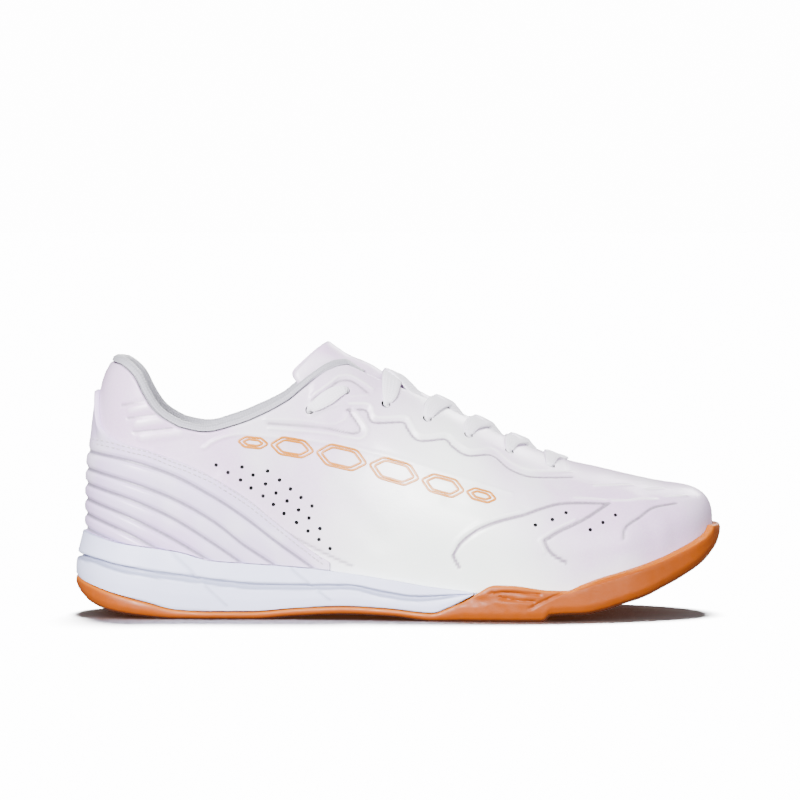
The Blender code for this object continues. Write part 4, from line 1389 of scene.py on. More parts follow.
def fine_midsole_line(column):
    """Side of the midsole in section, footbed to bed, before its corners are softened."""
    wall = -column.rim
    inside = wall + GAP
    rim = read(SOLE, RIM_TOP, column.x)
    seat = read(SOLE, SOLE_TOP, column.x) + GAP
    high, low = read(BAND, 1, column.x), read(BAND, 2, column.x)
    lip = inside + LIP
    notch = min(BAND_NOTCH, (high - low) / 4)
    deep = BAND_DEPTH + HEEL_BAND * (1.0 - smoothstep(column.x, 6.0, 40.0))
    return [
        level_point(column, wall, FOOTBED),
        level_point(column, inside, FOOTBED),
        column.out(inside, rim),
        column.out(lip, rim),
        column.out((lip + FOAM_OVER) / 2, (high + rim) / 2),
        column.out(FOAM_OVER, high),
        column.out(FOAM_OVER - deep, high - notch),
        column.out(FOAM_UNDER - deep, low + notch),
        column.out(FOAM_UNDER, low),
        column.out(0.0, (low + seat) / 2),
        column.out(FOAM_FOOT, seat),
        column.out(wall, seat),
        level_point(column, wall, BED, GAP),
    ]


def cut_lines(points, normals, lines, half, deep):
    """Presses sloping lines into a sole's side; gives the moved points and how deep they went."""
    share = np.zeros(len(points))
    for spots in lines:
        flat = [seen_at(pixel, -SOLE_HALF) for pixel in spots]
        route = curve_through(flat, 0.5)
        gaps = near(points[:, ::2], route, half)
        share = np.maximum(share, (1.0 - (gaps / half) ** 2) ** 2)
    return points - normals * (share * deep)[:, None], share


def level_point(column, offset, layer, lift=0.0):
    """Point beside the outline on one of the sole's layers."""
    x, y, _ = column.out(offset, 0.0)
    return x, y, read(SOLE, layer, x) + lift


SOLE_MARKS = ([i / 44 for i in range(44)] + [1.0 + i / 250 for i in range(250)]
              + [2.0 + i / 80 for i in range(81)])


def sole_columns(side):
    exact = station(RIM_END)
    marks = list(SOLE_MARKS)
    nearest = min(range(len(marks)), key=lambda i: abs(marks[i] - exact))
    marks[nearest] = exact
    return [Column(side, u) for u in marks], nearest


def midsole_grids():
    """Grids of the midsole: its side to the rim's end, then the flat pad inside the cup."""
    grids, tops, bottoms = [], [], []
    for side in (LATERAL, MEDIAL):
        columns, last = sole_columns(side)
        plain = [fine_midsole_line(c) for c in columns]
        lines, bands = [], []
        for column, line in zip(columns[:last + 1], plain):
            body = evenly(softened(line[3:12], SKIN_TURN, ARC_POINTS), SOLE_ROWS)
            lines.append(np.vstack([line[:3], body, line[12:]]))
            # Painted shade over the recessed band, full where the band is tall enough to show
            high, low = read(BAND, 1, column.x), read(BAND, 2, column.x)
            strength = smoothstep(high - low, *BAND_SEEN)
            shade = smoothstep(high + BAND_PAST - body[:, 2], 0.0, BAND_SOFT)
            shade = shade * smoothstep(body[:, 2] - low + BAND_PAST, 0.0, BAND_SOFT)
            inside = body[:, 2] > read(SOLE, SOLE_TOP, column.x) + BAND_CLEAR
            bands.append(np.concatenate([np.zeros(3), strength * shade * inside, [0.0]]))
        grid = np.array(lines)
        points, share = cut_lines(grid.reshape(-1, 3), outward(grid, side).reshape(-1, 3),
                                  FOAM_LINES, FOAM_HALF, FOAM_DEEP)
        keep = np.array(lines)
        grid = points.reshape(keep.shape)
        grid[:, :4], grid[:, -3:], grid[-1] = keep[:, :4], keep[:, -3:], keep[-1]
        band = np.maximum(np.array(bands), share.reshape(keep.shape[:2]) * FOAM_SHADE)
        grids.append((grid, 0, {"band": band}))
        flat = np.array([[line[0], line[-1]] for line in plain[last:]])
        grids.append((flat, 0))
        end = grid[-1]
        half = len(end) // 2
        grids.append((np.stack([end[:half], end[:-half - 1:-1]], axis=0), 0))
        tops.append([line[0] for line in plain])
        bottoms.append([line[-1] for line in plain])
    grids.append((np.stack([np.array(tops[0]), np.array(tops[1])], axis=1), 0))
    grids.append((np.stack([np.array(bottoms[0]), np.array(bottoms[1])], axis=1), 0))
    return grids


def make_midsole():
    """The foam midsole with its recessed band and pressed lines."""
    mesh = build_mesh("foam", midsole_grids())
    return place_piece("midsole_foam", mesh, [foam_material()], ("midsole",), 50.0)


def fine_outsole_line(column):
    """Side of the outsole in section, from its bevel over the rim to its bed."""
    inside = -column.rim + GAP
    under = read(SOLE, UNDER, column.x)
    top = min(read(SOLE, SOLE_TOP, column.x), GUM_TIP)
    step = min(top - under, GUM_STEP)
    return [
        level_point(column, GUM_BEVEL - GUM_INNER, UNDER),
        level_point(column, GUM_BEVEL, UNDER),
        level_point(column, GUM_CORNER, UNDER, GUM_TURN * step),
        column.out(0.0, under + GUM_SIDE * step),
        column.out(0.0, top - GUM_SHOULDER * step),
        column.out(GUM_TOP, top),
        column.out(inside, top),
        level_point(column, inside, BED),
    ]


def tread_height(x, y):
    """How far the tread is cut away under the sole at each point, in shares of its depth."""
    wave = WAVE_SWING * np.sin(y / WAVE_LENGTH)
    rows = np.abs(((x + wave * WAVE_SHARE) / TREAD_PITCH) % 1.0 - 0.5) * 2.0
    lanes = np.abs((y / TREAD_LANE) % 1.0 - 0.5) * 2.0
    cuts = np.maximum(smoothstep(rows, *ROW_CUT), smoothstep(lanes, *LANE_CUT))
    for place, across, radius in TREAD_PIVOTS:
        away = np.hypot(x - place, y - across)
        ring = np.abs((away / RING_PITCH) % 1.0 - 0.5) * 2.0
        inside = 1.0 - smoothstep(away, radius - 0.6, radius)
        border = smoothstep(away, radius - 1.2, radius - 0.2)
        border = border * (1.0 - smoothstep(away, radius + 0.6, radius + 1.4))
        rings = np.maximum(inside * smoothstep(ring, *RING_CUT), border)
        cuts = np.maximum(cuts * (1.0 - inside), rings)
    waist = smoothstep(x, *WAIST[:2]) * (1.0 - smoothstep(x, *WAIST[2:]))
    return cuts * (1.0 - waist)


def outsole_grids():
    """Grids of the outsole: its sides, its bed and the tread of its underside."""
    grids, beds, unders = [], [], []
    for side in (LATERAL, MEDIAL):
        columns, _ = sole_columns(side)
        lines, edges = [], []
        for column in columns:
            line = fine_outsole_line(column)
            body = evenly(softened(line[1:7], GUM_ROUND, ARC_POINTS), SOLE_ROWS)
            lines.append(np.vstack([line[:1], body, line[7:]]))
            top = min(read(SOLE, SOLE_TOP, column.x), GUM_TIP)
            edges.append(smoothstep(lines[-1][:, 2], top - GUM_EDGE[0], top - GUM_EDGE[1]))
        grid = np.array(lines)
        keep = grid.copy()
        normals = outward(grid, side).reshape(-1, 3)
        points, _ = cut_lines(grid.reshape(-1, 3), normals, GUM_LINES, GUM_HALF, GUM_DEEP)
        for centre, size, deep in GUM_HOLLOWS:
            x, z = seen_at(centre, -SOLE_HALF)
            away = ((points[:, 0] - x) / size[0]) ** 2 + ((points[:, 2] - z) / size[1]) ** 2
            points = points - normals * (deep * np.maximum(0.0, 1.0 - away) ** 2)[:, None]
        grid = points.reshape(keep.shape)
        grid[:, :3], grid[:, -4:] = keep[:, :3], keep[:, -4:]
        grids.append((grid, 0, {"edge": np.array(edges)}))
        unders.append(grid[:, 0])
        beds.append(grid[:, -1])
    for i in (0, -1):
        middle = (grids[0][0][i] + grids[1][0][i]) / 2
        grids[0][0][i] = grids[1][0][i] = middle
    share = np.linspace(0.0, 1.0, TREAD_ACROSS + 1)[None, :, None]
    floor = unders[0][:, None] * (1.0 - share) + unders[1][:, None] * share
    border = np.minimum(share[..., 0], 1.0 - share[..., 0]) * TREAD_ACROSS
    cuts = tread_height(floor[..., 0], floor[..., 1]) * smoothstep(border, 1.0, 3.0)
    depth = chosen_size("tread")
    floor[..., 2] += depth * cuts
    grids.append((floor, 0, {"edge": TREAD_PALER * (1.0 - cuts)}))
    grids.append((np.stack(beds, axis=1), 0))
    return grids


def make_outsole():
    """The gum outsole with its cup wall and tread."""
    mesh = build_mesh("gum", outsole_grids())
    return place_piece("outsole_gum", mesh, [gum_material()], ("outsole",), 50.0)


def roll_stand(column):
    """Direction square to the collar's edge, as near upright as it can be."""
    step = 0.02
    ends = []
    for u in (max(0.0, column.u - step), min(3.0, column.u + step)):
        near_by = Column(column.side, u)
        ends.append(near_by.arc(near_by.top_angle()))
    run = np.array(ends[1]) - np.array(ends[0])
    run /= np.linalg.norm(run)
    stand = np.array((0.0, 0.0, 1.0)) - run * run[2]
    return stand / np.linalg.norm(stand)


def roll_section(column):
    """Section of the padded collar at one column, thinner where it runs on beside the tongue."""
    place = column.collar_place()
    thin = smoothstep(place, ROLL_TAPER, ROLL_FRONT - ROLL_FULL)
    fall = smoothstep(place, ROLL_FRONT - ROLL_FALL, ROLL_FRONT)
    edge = column.arc(column.top_angle())[2]
    stand = roll_stand(column)
    line = []
    for depth, height in ROLL:
        if depth > ROLL[0][0]:
            depth = ROLL[0][0] + (depth - ROLL[0][0]) * (1.0 - ROLL_THIN * thin)
        depth -= ROLL_OUT * thin
        if 0.0 < height < ROLL_LIP:
            height *= ROLL_NEAR
        height *= (1.0 - 0.7 * fall) if height > 0.0 else (1.0 - 0.6 * thin)
        spot = np.array(column.at(edge + min(height, 0.0), depth))
        line.append(tuple(spot + stand * max(height, 0.0)))
    return line


def ring_through(points, count):
    """Even points on a smooth closed curve through the given ones."""
    points = np.array(points, float)
    n = len(points)
    dense = []
    for i in range(n):
        a, b, c, d = (points[(i + k) % n] for k in (-1, 0, 1, 2))
        dense += [between(a, b, c, d, t) for t in np.arange(8) / 8]
    dense.append(points[0])
    return evenly(dense, count + 1)


def around_heel(end, heel, step, section):
    """Sections of both sides in one chain from the lateral end round the heel to the medial end."""
    sides = []
    for side in (LATERAL, MEDIAL):
        marks = heel_marks(end, heel, step)
        sides.append([section(Column(side, u)) for u in marks])
    return sides[0][::-1] + sides[1][1:]


def make_collar():
    """The padded roll inside the collar, closed at both ends."""
    sections = around_heel(ROLL_FRONT, ROLL_FAN, 1.0, roll_section)
    grid = np.array([ring_through(section, ROLL_POINTS) for section in sections])
    ends = [(grid[0, :-1], 0), (grid[-1, :-1], 0)]
    mesh = build_mesh("roll", [(grid, 0)], ends)
    piece = place_piece("collar_roll", mesh, [lining_material()],
                        ("collar_lining",), 60.0)
    return piece


def make_lining():
    """Thin fabric sheet inside the shell, from the collar and throat down to the insole."""
    grids = []
    for side in (LATERAL, MEDIAL):
        faces = []
        for depth in LINING_FACES:
            lines = []
            for column in FINE_COLUMNS[side][::3]:
                low, start = column.levels(depth)[:2]
                top = column.top_angle(depth) * 0.99
                line = [column.at(low + (start - low) * k / 4, depth) for k in range(4)]
                line += [column.arc(top * k / 20, depth) for k in range(21)]
                lines.append(line)
            faces.append(np.array(lines))
        outer, inner = faces
        whole = np.concatenate([outer, inner[:, ::-1], outer[:, :1]], axis=1)
        grids.append((whole, 0))
    mesh = build_mesh("lining", grids)
    return place_piece("inner_lining", mesh, [lining_material()], (), 60.0)


def make_insole():
    """The footbed, with a rounded edge above and below."""
    grids = []
    columns = [sole_columns(side)[0] for side in (LATERAL, MEDIAL)]
    rings = []
    for lift, inset in INSOLE_EDGE:
        lateral, medial = [
            [level_point(c, -(c.rim + WALL + INSOLE_CLEAR + inset), FOOTBED, lift) for c in side]
            for side in columns
        ]
        rings.append((np.array(lateral), np.array(medial)))
    for lower, upper in zip(rings, rings[1:]):
        for side in (LATERAL, MEDIAL):
            grids.append((np.stack([lower[side], upper[side]], axis=1), 0))
    for lateral, medial in (rings[0], rings[-1]):
        across = [lateral + (medial - lateral) * k / 16 for k in range(17)]
        grids.append((np.stack(across, axis=1), 0))
    mesh = build_mesh("footbed", grids)
    return place_piece("insole_fabric", mesh, [lining_material()], ("insole",), 40.0)


def tongue_faces():
    """Outer and inner face of the padded tongue, across and along."""
    outer, inner = [], []
    for k in range(-TONGUE_ACROSS, TONGUE_ACROSS + 1):
        away = abs(k) / TONGUE_ACROSS
        side = LATERAL if k < 0 else MEDIAL
        start = TONGUE_TIP - (TONGUE_TIP - TONGUE_BACK) * away ** TONGUE_CURVE
        start += TONGUE_CORNER * smoothstep(away, 0.72, 1.0) ** 2
        faces = [[], []]
        for step in range(TONGUE_ALONG + 1):
            place = start + (TONGUE_END - start) * step / TONGUE_ALONG
            column = Column(side, station(place))
            edge, deep, shallow, thick = (read(TONGUE, i, place) for i in range(1, 5))
            angle = math.radians(90.0 - (90.0 - edge) * away)
            depth = shallow + (deep - shallow) * away ** TONGUE_DROP
            stay = column.top_angle()
            open_share = max(0.0, (angle - stay) / max(0.05, math.pi / 2 - stay))
            bulge = smoothstep(place, *BULGE_FROM) * (1.0 - smoothstep(place, *BULGE_TO))
            depth -= TONGUE_BULGE * bulge * smoothstep(open_share, 0.0, 0.8)
            thin = thick * (1.0 - 0.4 * away ** 2)
            end = min(1.0, (place - start) / TONGUE_LIP)
            border = min(1.0, (1.0 - away) * TONGUE_SIDE)
            round_off = math.sqrt(max(0.0, 1.0 - (1.0 - min(end, border)) ** 2))
            middle = depth + thin / 2
            half = thin / 2 * max(0.12, round_off)
            faces[0].append(column.arc(angle, middle - half))
            faces[1].append(column.arc(angle, middle + half))
        outer.append(faces[0])
        inner.append(faces[1])
    return np.array(outer), np.array(inner)


def make_tongue():
    """The padded tongue: synthetic outside, lining inside and on its edges."""
    outer, inner = tongue_faces()
    edges = [
        np.stack([outer[0], inner[0]], axis=1),
        np.stack([outer[-1], inner[-1]], axis=1),
        np.stack([outer[:, 0], inner[:, 0]], axis=1),
        np.stack([outer[:, -1], inner[:, -1]], axis=1),
    ]
    grids = [(outer, 0), (inner, 1)] + [(edge, 1) for edge in edges]
    mesh = build_mesh("tongue", grids)
    piece = place_piece("tongue_pad", mesh, [pearl_material(), lining_material()],
                        ("tongue",), 60.0)
    return piece


def lace_spots(first):
    """Spots that one half of the lace passes: side, place, height or share of the throat's
    half (nothing on the ridge), depth of its middle behind the upper's face, width."""
    holes = photo(EYELETS)
    wide = chosen_size("lace_width")
    side = first
    ahead = holes[-1][0] + LEANS[-1]
    spots = [
        (side, ahead, None, LACE_LOW, wide),
        (side, ahead - LACE_BACK, LACE_QUARTER, LACE_HELD, wide),
    ]
    for number in range(len(holes) - 1, 1, -1):
        x, z = holes[number]
        for shift, rise, depth, width in LACE_DOWN:
            spots.append((side, x + shift, z + rise, depth, width))
        if number > 2:
            behind = holes[number - 1][0]
            lean = LEANS[number - 3]
            over = LACE_LOW if (number + first) % 2 else LACE_HIGH
            spots.append((side, x - LACE_TUCK_BACK, LACE_TUCK, LACE_UNDER, wide))
            spots.append((side, behind + lean, None, over, wide))
            side = 1 - side
            spots.append((side, behind + lean * LACE_QUARTER, LACE_QUARTER, LACE_OVER, wide))
    for one, other, shift, rise, depth, width in LACE_RUN:
        x = (holes[one][0] + holes[other][0]) / 2 + shift
        z = (holes[one][1] + holes[other][1]) / 2 + rise
        spots.append((side, x, z, depth, width))
    return spots


def spot_frame(spot):
    """Point of a lace spot and the upper's outward direction there."""
    side, x, height, depth, _ = spot
    column = Column(side, station(x))
    top = math.pi / 2
    if height is None:
        angle = top
    elif height < 1.0:
        stay = column.top_angle()
        angle = stay + (top - stay) * (height - 0.5)
    else:
        angle = column.angle_at(height)
    here = np.array(column.arc(angle, depth))
    above = np.array(column.arc(angle, depth - 2.0))
    low = np.array(column.arc(max(0.0, angle - 0.04), depth))
    high = np.array(column.arc(min(top, angle + 0.04), depth))
    ahead = np.array(Column(side, station(x + 1.0)).arc(angle, depth))
    normal = np.cross(ahead - here, high - low)
    normal /= max(1e-9, np.linalg.norm(normal))
    if np.dot(normal, above - here) < 0.0:
        normal = -normal
    return here, normal


def make_laces():
    """One flat lace in two halves, from the first crossing to the top eyelets of both sides."""
    thick = chosen_size("lace_thickness")
    grids = []
    for first in (LATERAL, MEDIAL):
        spots = lace_spots(first)
        frames = [spot_frame(spot) for spot in spots]
        keys = np.array([np.concatenate([p, n * 10.0, [spot[4]]])
                         for (p, n), spot in zip(frames, spots)])
        rows = smooth_rows(keys, LACE_STEP)
        path, normals, widths = rows[:, :3], rows[:, 3:6], rows[:, 6]
        tangent = np.gradient(path, axis=0)
        tangent /= np.linalg.norm(tangent, axis=1, keepdims=True)
        normals -= tangent * np.sum(normals * tangent, axis=1, keepdims=True)
        normals /= np.linalg.norm(normals, axis=1, keepdims=True)
        across = np.cross(tangent, normals)
        ring = []
        for k in range(LACE_RING + 1):
            angle = 2 * math.pi * k / LACE_RING
            flat = math.copysign(abs(math.cos(angle)) ** LACE_FLAT, math.cos(angle))
            deep = math.copysign(abs(math.sin(angle)) ** LACE_SQUARE, math.sin(angle))
            ring.append(path + across * (widths / 2 * flat)[:, None] + normals * (thick / 2 * deep))
        grid = np.stack(ring, axis=1)
        grids.append((grid, 0))
    ends = []
    for grid, _ in grids:
        ends += [(grid[0, :-1], 0), (grid[-1, :-1], 0)]
    mesh = build_mesh("lace", grids, ends)
    nodes = ["lace_run_lateral", "lace_run_medial"] + [f"lace_bar_{k}" for k in range(1, 6)]
    return place_piece("lace", mesh, [lace_material()], nodes, 60.0)


def smooth_rows(keys, step):
    """Rows of a path with values that go with it, at even steps on a smooth curve."""
    ends = np.vstack([2 * keys[0] - keys[1], keys, 2 * keys[-1] - keys[-2]])
    found = []
    for i in range(len(keys) - 1):
        a, b, c, d = ends[i:i + 4]
        size = np.linalg.norm(keys[i + 1, :3] - keys[i, :3])
        ta = max(1e-3, np.linalg.norm(b[:3] - a[:3]) ** 0.5)
        tb = max(1e-3, size ** 0.5)
        tc = max(1e-3, np.linalg.norm(d[:3] - c[:3]) ** 0.5)
        m1 = ((b - a) / ta - (c - a) / (ta + tb) + (c - b) / tb) * tb
        m2 = ((c - b) / tb - (d - b) / (tb + tc) + (d - c) / tc) * tb
        count = max(2, int(round(size / step)))
        for t in np.arange(count) / count:
            found.append(b * (1 + 2 * t) * (1 - t) ** 2 + m1 * t * (1 - t) ** 2
                         + c * t * t * (3 - 2 * t) + m2 * t * t * (t - 1))
    found.append(keys[-1])
    return np.array(found)


def surface(piece):
    """Search tree of a finished piece's faces."""
    return BVHTree.FromPolygons([v.co for v in piece.data.vertices],
                                [tuple(f.vertices) for f in piece.data.polygons])


def drop(tree, side, x, z):
    """Where a mark lies on a finished piece, in millimetres, with the face's outward normal."""
    point, normal = on_side(side, x, z)
    start = Vector(((point[0] - LENGTH / 2), point[1], point[2])) * MM + Vector(normal) * 6.0 * MM
    hit, face_normal, _, _ = tree.ray_cast(start, -Vector(normal), 12.0 * MM)
    if hit is None:
        return None
    if face_normal.dot(Vector(normal)) < 0.0:
        face_normal = -face_normal
    found = np.array(hit) / MM + np.array([LENGTH / 2, 0.0, 0.0])
    return found, np.array(face_normal)


def finished(name):
    """A piece that an earlier step made."""
    piece = bpy.data.objects.get(name)
    if piece is None:
        raise RuntimeError(f"{name} has to be made first")
    return piece


def one_stitch():
    """Points and faces of one rounded stitch, a unit long."""
    deselect()
    bpy.ops.mesh.primitive_cylinder_add(vertices=8, radius=STITCH_THIN, depth=1.0,
                                        rotation=(0.0, math.pi / 2, 0.0))
    shape = bpy.context.object
    bpy.ops.object.transform_apply(location=False, rotation=True, scale=False)
    modifier = shape.modifiers.new("round", "BEVEL")
    modifier.width = STITCH_ROUND
    modifier.segments = 2
    bpy.ops.object.modifier_apply(modifier=modifier.name)
    points = np.array([v.co[:] for v in shape.data.vertices])
    faces = [tuple(f.vertices) for f in shape.data.polygons]
    bpy.data.objects.remove(shape)
    return points, faces


def make_stitches():
    """The double row of stitches on the heel, along each side."""
    tree = surface(finished("heel_cup"))
    size = chosen_size("stitch")
    points, faces = one_stitch()
    corners, cells = [], []
    for side in (LATERAL, MEDIAL):
        for row in STITCH_ROWS:
            route = curve_through(photo(row), size * STITCH_PITCH)
            spots = [drop(tree, side, x, z) for x, z in route]
            for before, here, after in zip(spots, spots[1:], spots[2:]):
                if before is None or here is None or after is None:
                    continue
                along = after[0] - before[0]
                along /= max(1e-9, np.linalg.norm(along))
                up = here[1] - along * np.dot(here[1], along)
                up /= np.linalg.norm(up)
                across = np.cross(up, along)
                turned = (points[:, :1] * along + points[:, 1:2] * across * STITCH_WIDE
                          + points[:, 2:3] * up) * size
                first = sum(len(c) for c in corners)
                corners.append(here[0] + up * STITCH_LIFT + turned)
                cells += [tuple(first + i for i in face) for face in faces]
    mesh = loose_mesh("stitch", np.vstack(corners), cells)
    return place_piece("heel_stitches", mesh, [thread_material()], (), 60.0)


def loose_mesh(name, points, cells):
    """Mesh of points in the shoe's millimetres."""
    mesh = bpy.data.meshes.new(name)
    points = (points - np.array([LENGTH / 2, 0.0, 0.0])) * MM
    mesh.from_pydata(points.tolist(), [], cells)
    mesh.validate()
    mesh.shade_smooth()
    return mesh


def ribbon(tree, side, flat, half, rise):
    """Closed low bead along a closed line on a side of the shoe, as a grid."""
    spots = [drop(tree, side, x, z) for x, z in flat]
    spots = [spot for spot in spots if spot is not None]
    path = np.array([p for p, _ in spots])
    normals = np.array([n for _, n in spots])
    ahead = np.roll(path, -1, axis=0) - np.roll(path, 1, axis=0)
    ahead /= np.linalg.norm(ahead, axis=1, keepdims=True)
    across = np.cross(normals, ahead)
    rings = [path + across * half * a + normals * rise * b for a, b in BEAD]
    grid = np.stack(rings, axis=1)
    return np.concatenate([grid, grid[:1]], axis=0)


def accent_cells():
    """Outlines of the accent: a chain of stretched six-sided cells, largest in the middle."""
    route = curve_through(photo(ACCENT_ROUTE), 0.5)
    run = run_along(route)
    swells = [math.sin(math.pi * (k + 0.5) / ACCENT_CELLS) for k in range(ACCENT_CELLS)]
    shares = np.array([1.0 + ACCENT_SWELL * swell for swell in swells])
    sizes = shares / shares.sum() * (run[-1] - ACCENT_GAP * (ACCENT_CELLS - 1))
    start = 0.0
    outlines = []
    for k in range(ACCENT_CELLS):
        for inset in (0.0, ACCENT_INSET) if sizes[k] > ACCENT_DOUBLE else (0.0,):
            tall = ACCENT_TALL * (ACCENT_LEAST + (1.0 - ACCENT_LEAST) * swells[k]) - inset * 0.7
            long = sizes[k] - inset * 3.0
            flat = []
            for (a, b), (c, d) in zip(CELL, CELL[1:]):
                for t in np.arange(9) / 9:
                    flat.append((a + (c - a) * t, b + (d - b) * t))
            flat = np.array(flat)
            for _ in range(2):
                flat = (np.roll(flat, 1, axis=0) + 2 * flat + np.roll(flat, -1, axis=0)) / 4
            along = start + inset * 1.5 + flat[:, 0] * long
            x = np.interp(along, run, route[:, 0])
            z = np.interp(along, run, route[:, 1])
            slope = np.interp(along, run, np.gradient(route[:, 1], route[:, 0]))
            lean = np.hypot(1.0, slope)
            outlines.append(np.stack([x - slope / lean * flat[:, 1] * tall,
                                      z + flat[:, 1] * tall / lean], axis=1))
        start += sizes[k] + ACCENT_GAP
    return outlines


def make_accent():
    """Plain gold accent of outlined cells on both sides of the upper."""
    tree = surface(finished("upper_shell"))
    grids = []
    for side in (LATERAL, MEDIAL):
        for flat in accent_cells():
            grids.append((ribbon(tree, side, flat, ACCENT_LINE, ACCENT_RISE), 0))
    mesh = build_mesh("accent", grids)
    return place_piece("side_accent", mesh, [gold_material()], (), 60.0)


def aim_at(thing, target):
    """Turns a light or the camera to face a point."""
    ahead = Vector(target) - Vector(thing.location)
    thing.rotation_euler = ahead.to_track_quat("-Z", "Y").to_euler()


def soft_light(name, place, width, height, power):
    """Rectangular white studio light that faces the shoe and leaves the floor out."""
    bpy.ops.object.light_add(type="AREA", location=place)
    light = bpy.context.object
    light.name = name
    light.data.shape = "RECTANGLE"
    light.data.size = width
    light.data.size_y = height
    light.data.energy = power
    aim_at(light, (0.0, 0.0, 0.05))
    light.light_linking.receiver_collection = bpy.data.collections["not the floor"]


def floor_light(floor, strength):
    """Broad overhead light for the floor alone, which the shoe still shades."""
    bpy.ops.object.light_add(type="SUN", location=(0.0, 0.0, 3.0))
    light = bpy.context.object
    light.name = "floor_light"
    light.data.energy = strength
    light.data.angle = FLOOR_SPREAD
    light.rotation_euler = FLOOR_TURN
    receivers = bpy.data.collections.new("floor only")
    receivers.objects.link(floor)
    light.light_linking.receiver_collection = receivers


def stage_material(name, color, strength):
    """Matt paint of the stage, which glows if a strength is given."""
    made = Finish(name, color, 0.7)
    made.bump(made.noise(made.place(), 60.0, 2.0), 0.02, 0.001)
    if strength:
        made.shader.inputs["Emission Color"].default_value = (1.0, 1.0, 1.0, 1.0)
        made.shader.inputs["Emission Strength"].default_value = strength
    return made.material


def unseen_by_light(thing):
    """Leaves a piece of the stage to the camera alone, so that it throws no light back."""
    thing.visible_diffuse = False
    thing.visible_glossy = False
    thing.visible_transmission = False


def make_stage():
    """The floor, the white backdrop, the lights and the light from all round."""
    settings = bpy.context.scene.shoe_stage
    deselect()
    bpy.ops.mesh.primitive_plane_add(size=16.0)
    floor = bpy.context.object
    floor.name = "floor"
    floor.data.materials.append(stage_material("pale floor", (0.86, 0.86, 0.87), 0.0))
    unseen_by_light(floor)
    deselect()
    bpy.ops.mesh.primitive_uv_sphere_add(segments=64, ring_count=32, radius=7.5)
    dome = bpy.context.object
    dome.name = "backdrop"
    dome.data.materials.append(stage_material("white backdrop", (0.8, 0.8, 0.8), settings.backdrop))
    unseen_by_light(dome)
    dome.visible_shadow = False
    floor_light(floor, settings.floor_light)
    others = bpy.data.collections.new("not the floor")
    others.objects.link(floor)
    others.collection_objects[0].light_linking.link_state = "EXCLUDE"
    for name, place, width, height, share in SOFT_LIGHTS:
        soft_light(name, place, width, height, settings.key * share)
    world = bpy.data.worlds.new("studio")
    world.use_nodes = True
    background = world.node_tree.nodes["Background"]
    background.inputs["Color"].default_value = (0.97, 0.97, 1.0, 1.0)
    background.inputs["Strength"].default_value = settings.surround
    bpy.context.scene.world = world


def make_camera():
    """The camera, level with the photograph's own."""
    settings = bpy.context.scene.shoe_stage
    bpy.ops.object.camera_add()
    camera = bpy.context.object
    camera.name = "camera"
    camera.data.sensor_width = SENSOR
    camera.data.lens = LENS
    camera.data.clip_end = 40.0
    aim = Vector((AIM[0] - LENGTH / 2, AIM[1], AIM[2])) * MM
    tilt = settings.elevation
    camera.location = aim + Vector((0.0, -math.cos(tilt), math.sin(tilt))) * DISTANCE * MM
    aim_at(camera, aim)
    bpy.context.scene.camera = camera


def colour(name, about, value):
    """A colour in the panel."""
    return FloatVectorProperty(name=name, description=about, default=value, subtype="COLOR",
                               min=0.0, max=1.0)


def length(name, about, value):
    """A size in the panel, given in millimetres and kept in metres."""
    return FloatProperty(name=name, description=about, default=value * MM, unit="LENGTH",
                         subtype="DISTANCE", min=0.0, precision=5)


def amount(name, about, value, **options):
    """A plain number in the panel, never below nothing."""
    return FloatProperty(name=name, description=about, default=value, min=0.0, **options)


class ShoeSizes(bpy.types.PropertyGroup):
    """Sizes that a user would change."""

    stay_rise: length("Eyestay rise", "Height of the eyestay over the side of the upper", 0.6)
    line_rise: amount("Welded lines", "Strength of the lines on the upper", 1.0, subtype="FACTOR")
    hole: length("Perforation", "Radius of a perforation", 0.85)
    eyelet: length("Eyelet", "Radius of an eyelet", 2.0)
    lace_width: length("Lace width", "Width of the flat lace", 9.0)
    lace_thickness: length("Lace thickness", "Thickness of the flat lace", 1.5)
    rib_depth: length("Rib depth", "Depth of the grooves between the heel's ribs", 0.8)
    stitch: length("Stitch", "Length of one stitch", 1.5)
    tread: length("Tread depth", "Depth of the grooves under the outsole", 1.4)


class ShoeColours(bpy.types.PropertyGroup):
    """Colours that a user would change."""

    # Lilac is the synthetic's own tint; pale is its painted pearly sheen over the side panel and, a
    # little lighter, the painted highlight on raised lines
    lilac: colour("Lilac", "Pearl synthetic away from the side panel", (0.70, 0.545, 0.76))
    pale: colour("Pale", "Pearl synthetic on the side panel", (0.94, 0.97, 0.95))
    green: colour("Green", "Faint green drift of the pearl", (0.84, 0.93, 0.88))
    rib: colour("Ribs", "Pearl synthetic of the ribbed heel", (0.65, 0.555, 0.80))
    foam: colour("Foam", "Midsole foam", (0.64, 0.66, 0.90))
    # Band is the painted shade of the midsole's recessed band and pressed lines
    band: colour("Band", "Recessed band of the midsole", (0.34, 0.36, 0.52))
    gum: colour("Gum", "Gum rubber of the outsole", (0.30, 0.058, 0.0006))
    gum_edge: colour("Gum edge", "Paler edge of the gum rubber", (0.40, 0.098, 0.001))
    lining: colour("Lining", "Satin lining", (0.42, 0.41, 0.47))
    lace: colour("Lace", "Flat lace", (0.88, 0.84, 0.93))
    gold: colour("Gold", "Gold film of the accent", (0.50, 0.165, 0.004))


class ShoeStage(bpy.types.PropertyGroup):
    """Stage and light."""

    elevation: FloatProperty(name="Camera height", description="Angle of the camera over the level",
                             default=TILT, subtype="ANGLE", unit="ROTATION")
    key: amount("Key light", "Power of the main light in watts", 215.0, unit="POWER")
    surround: amount("Surround", "Strength of the light from all round", 0.24)
    backdrop: amount("Backdrop", "Glow of the white backdrop", 14.0)
    floor_light: amount("Floor light", "Strength of the light on the floor", 60.0)


class SHOE_OT_shell(bpy.types.Operator):
    """Makes the pearl shell with its welded lines, eyelets and perforations"""

    bl_idname = "shoe.shell"
    bl_label = "Upper"

    def execute(self, context):
        make_shell()
        return {"FINISHED"}


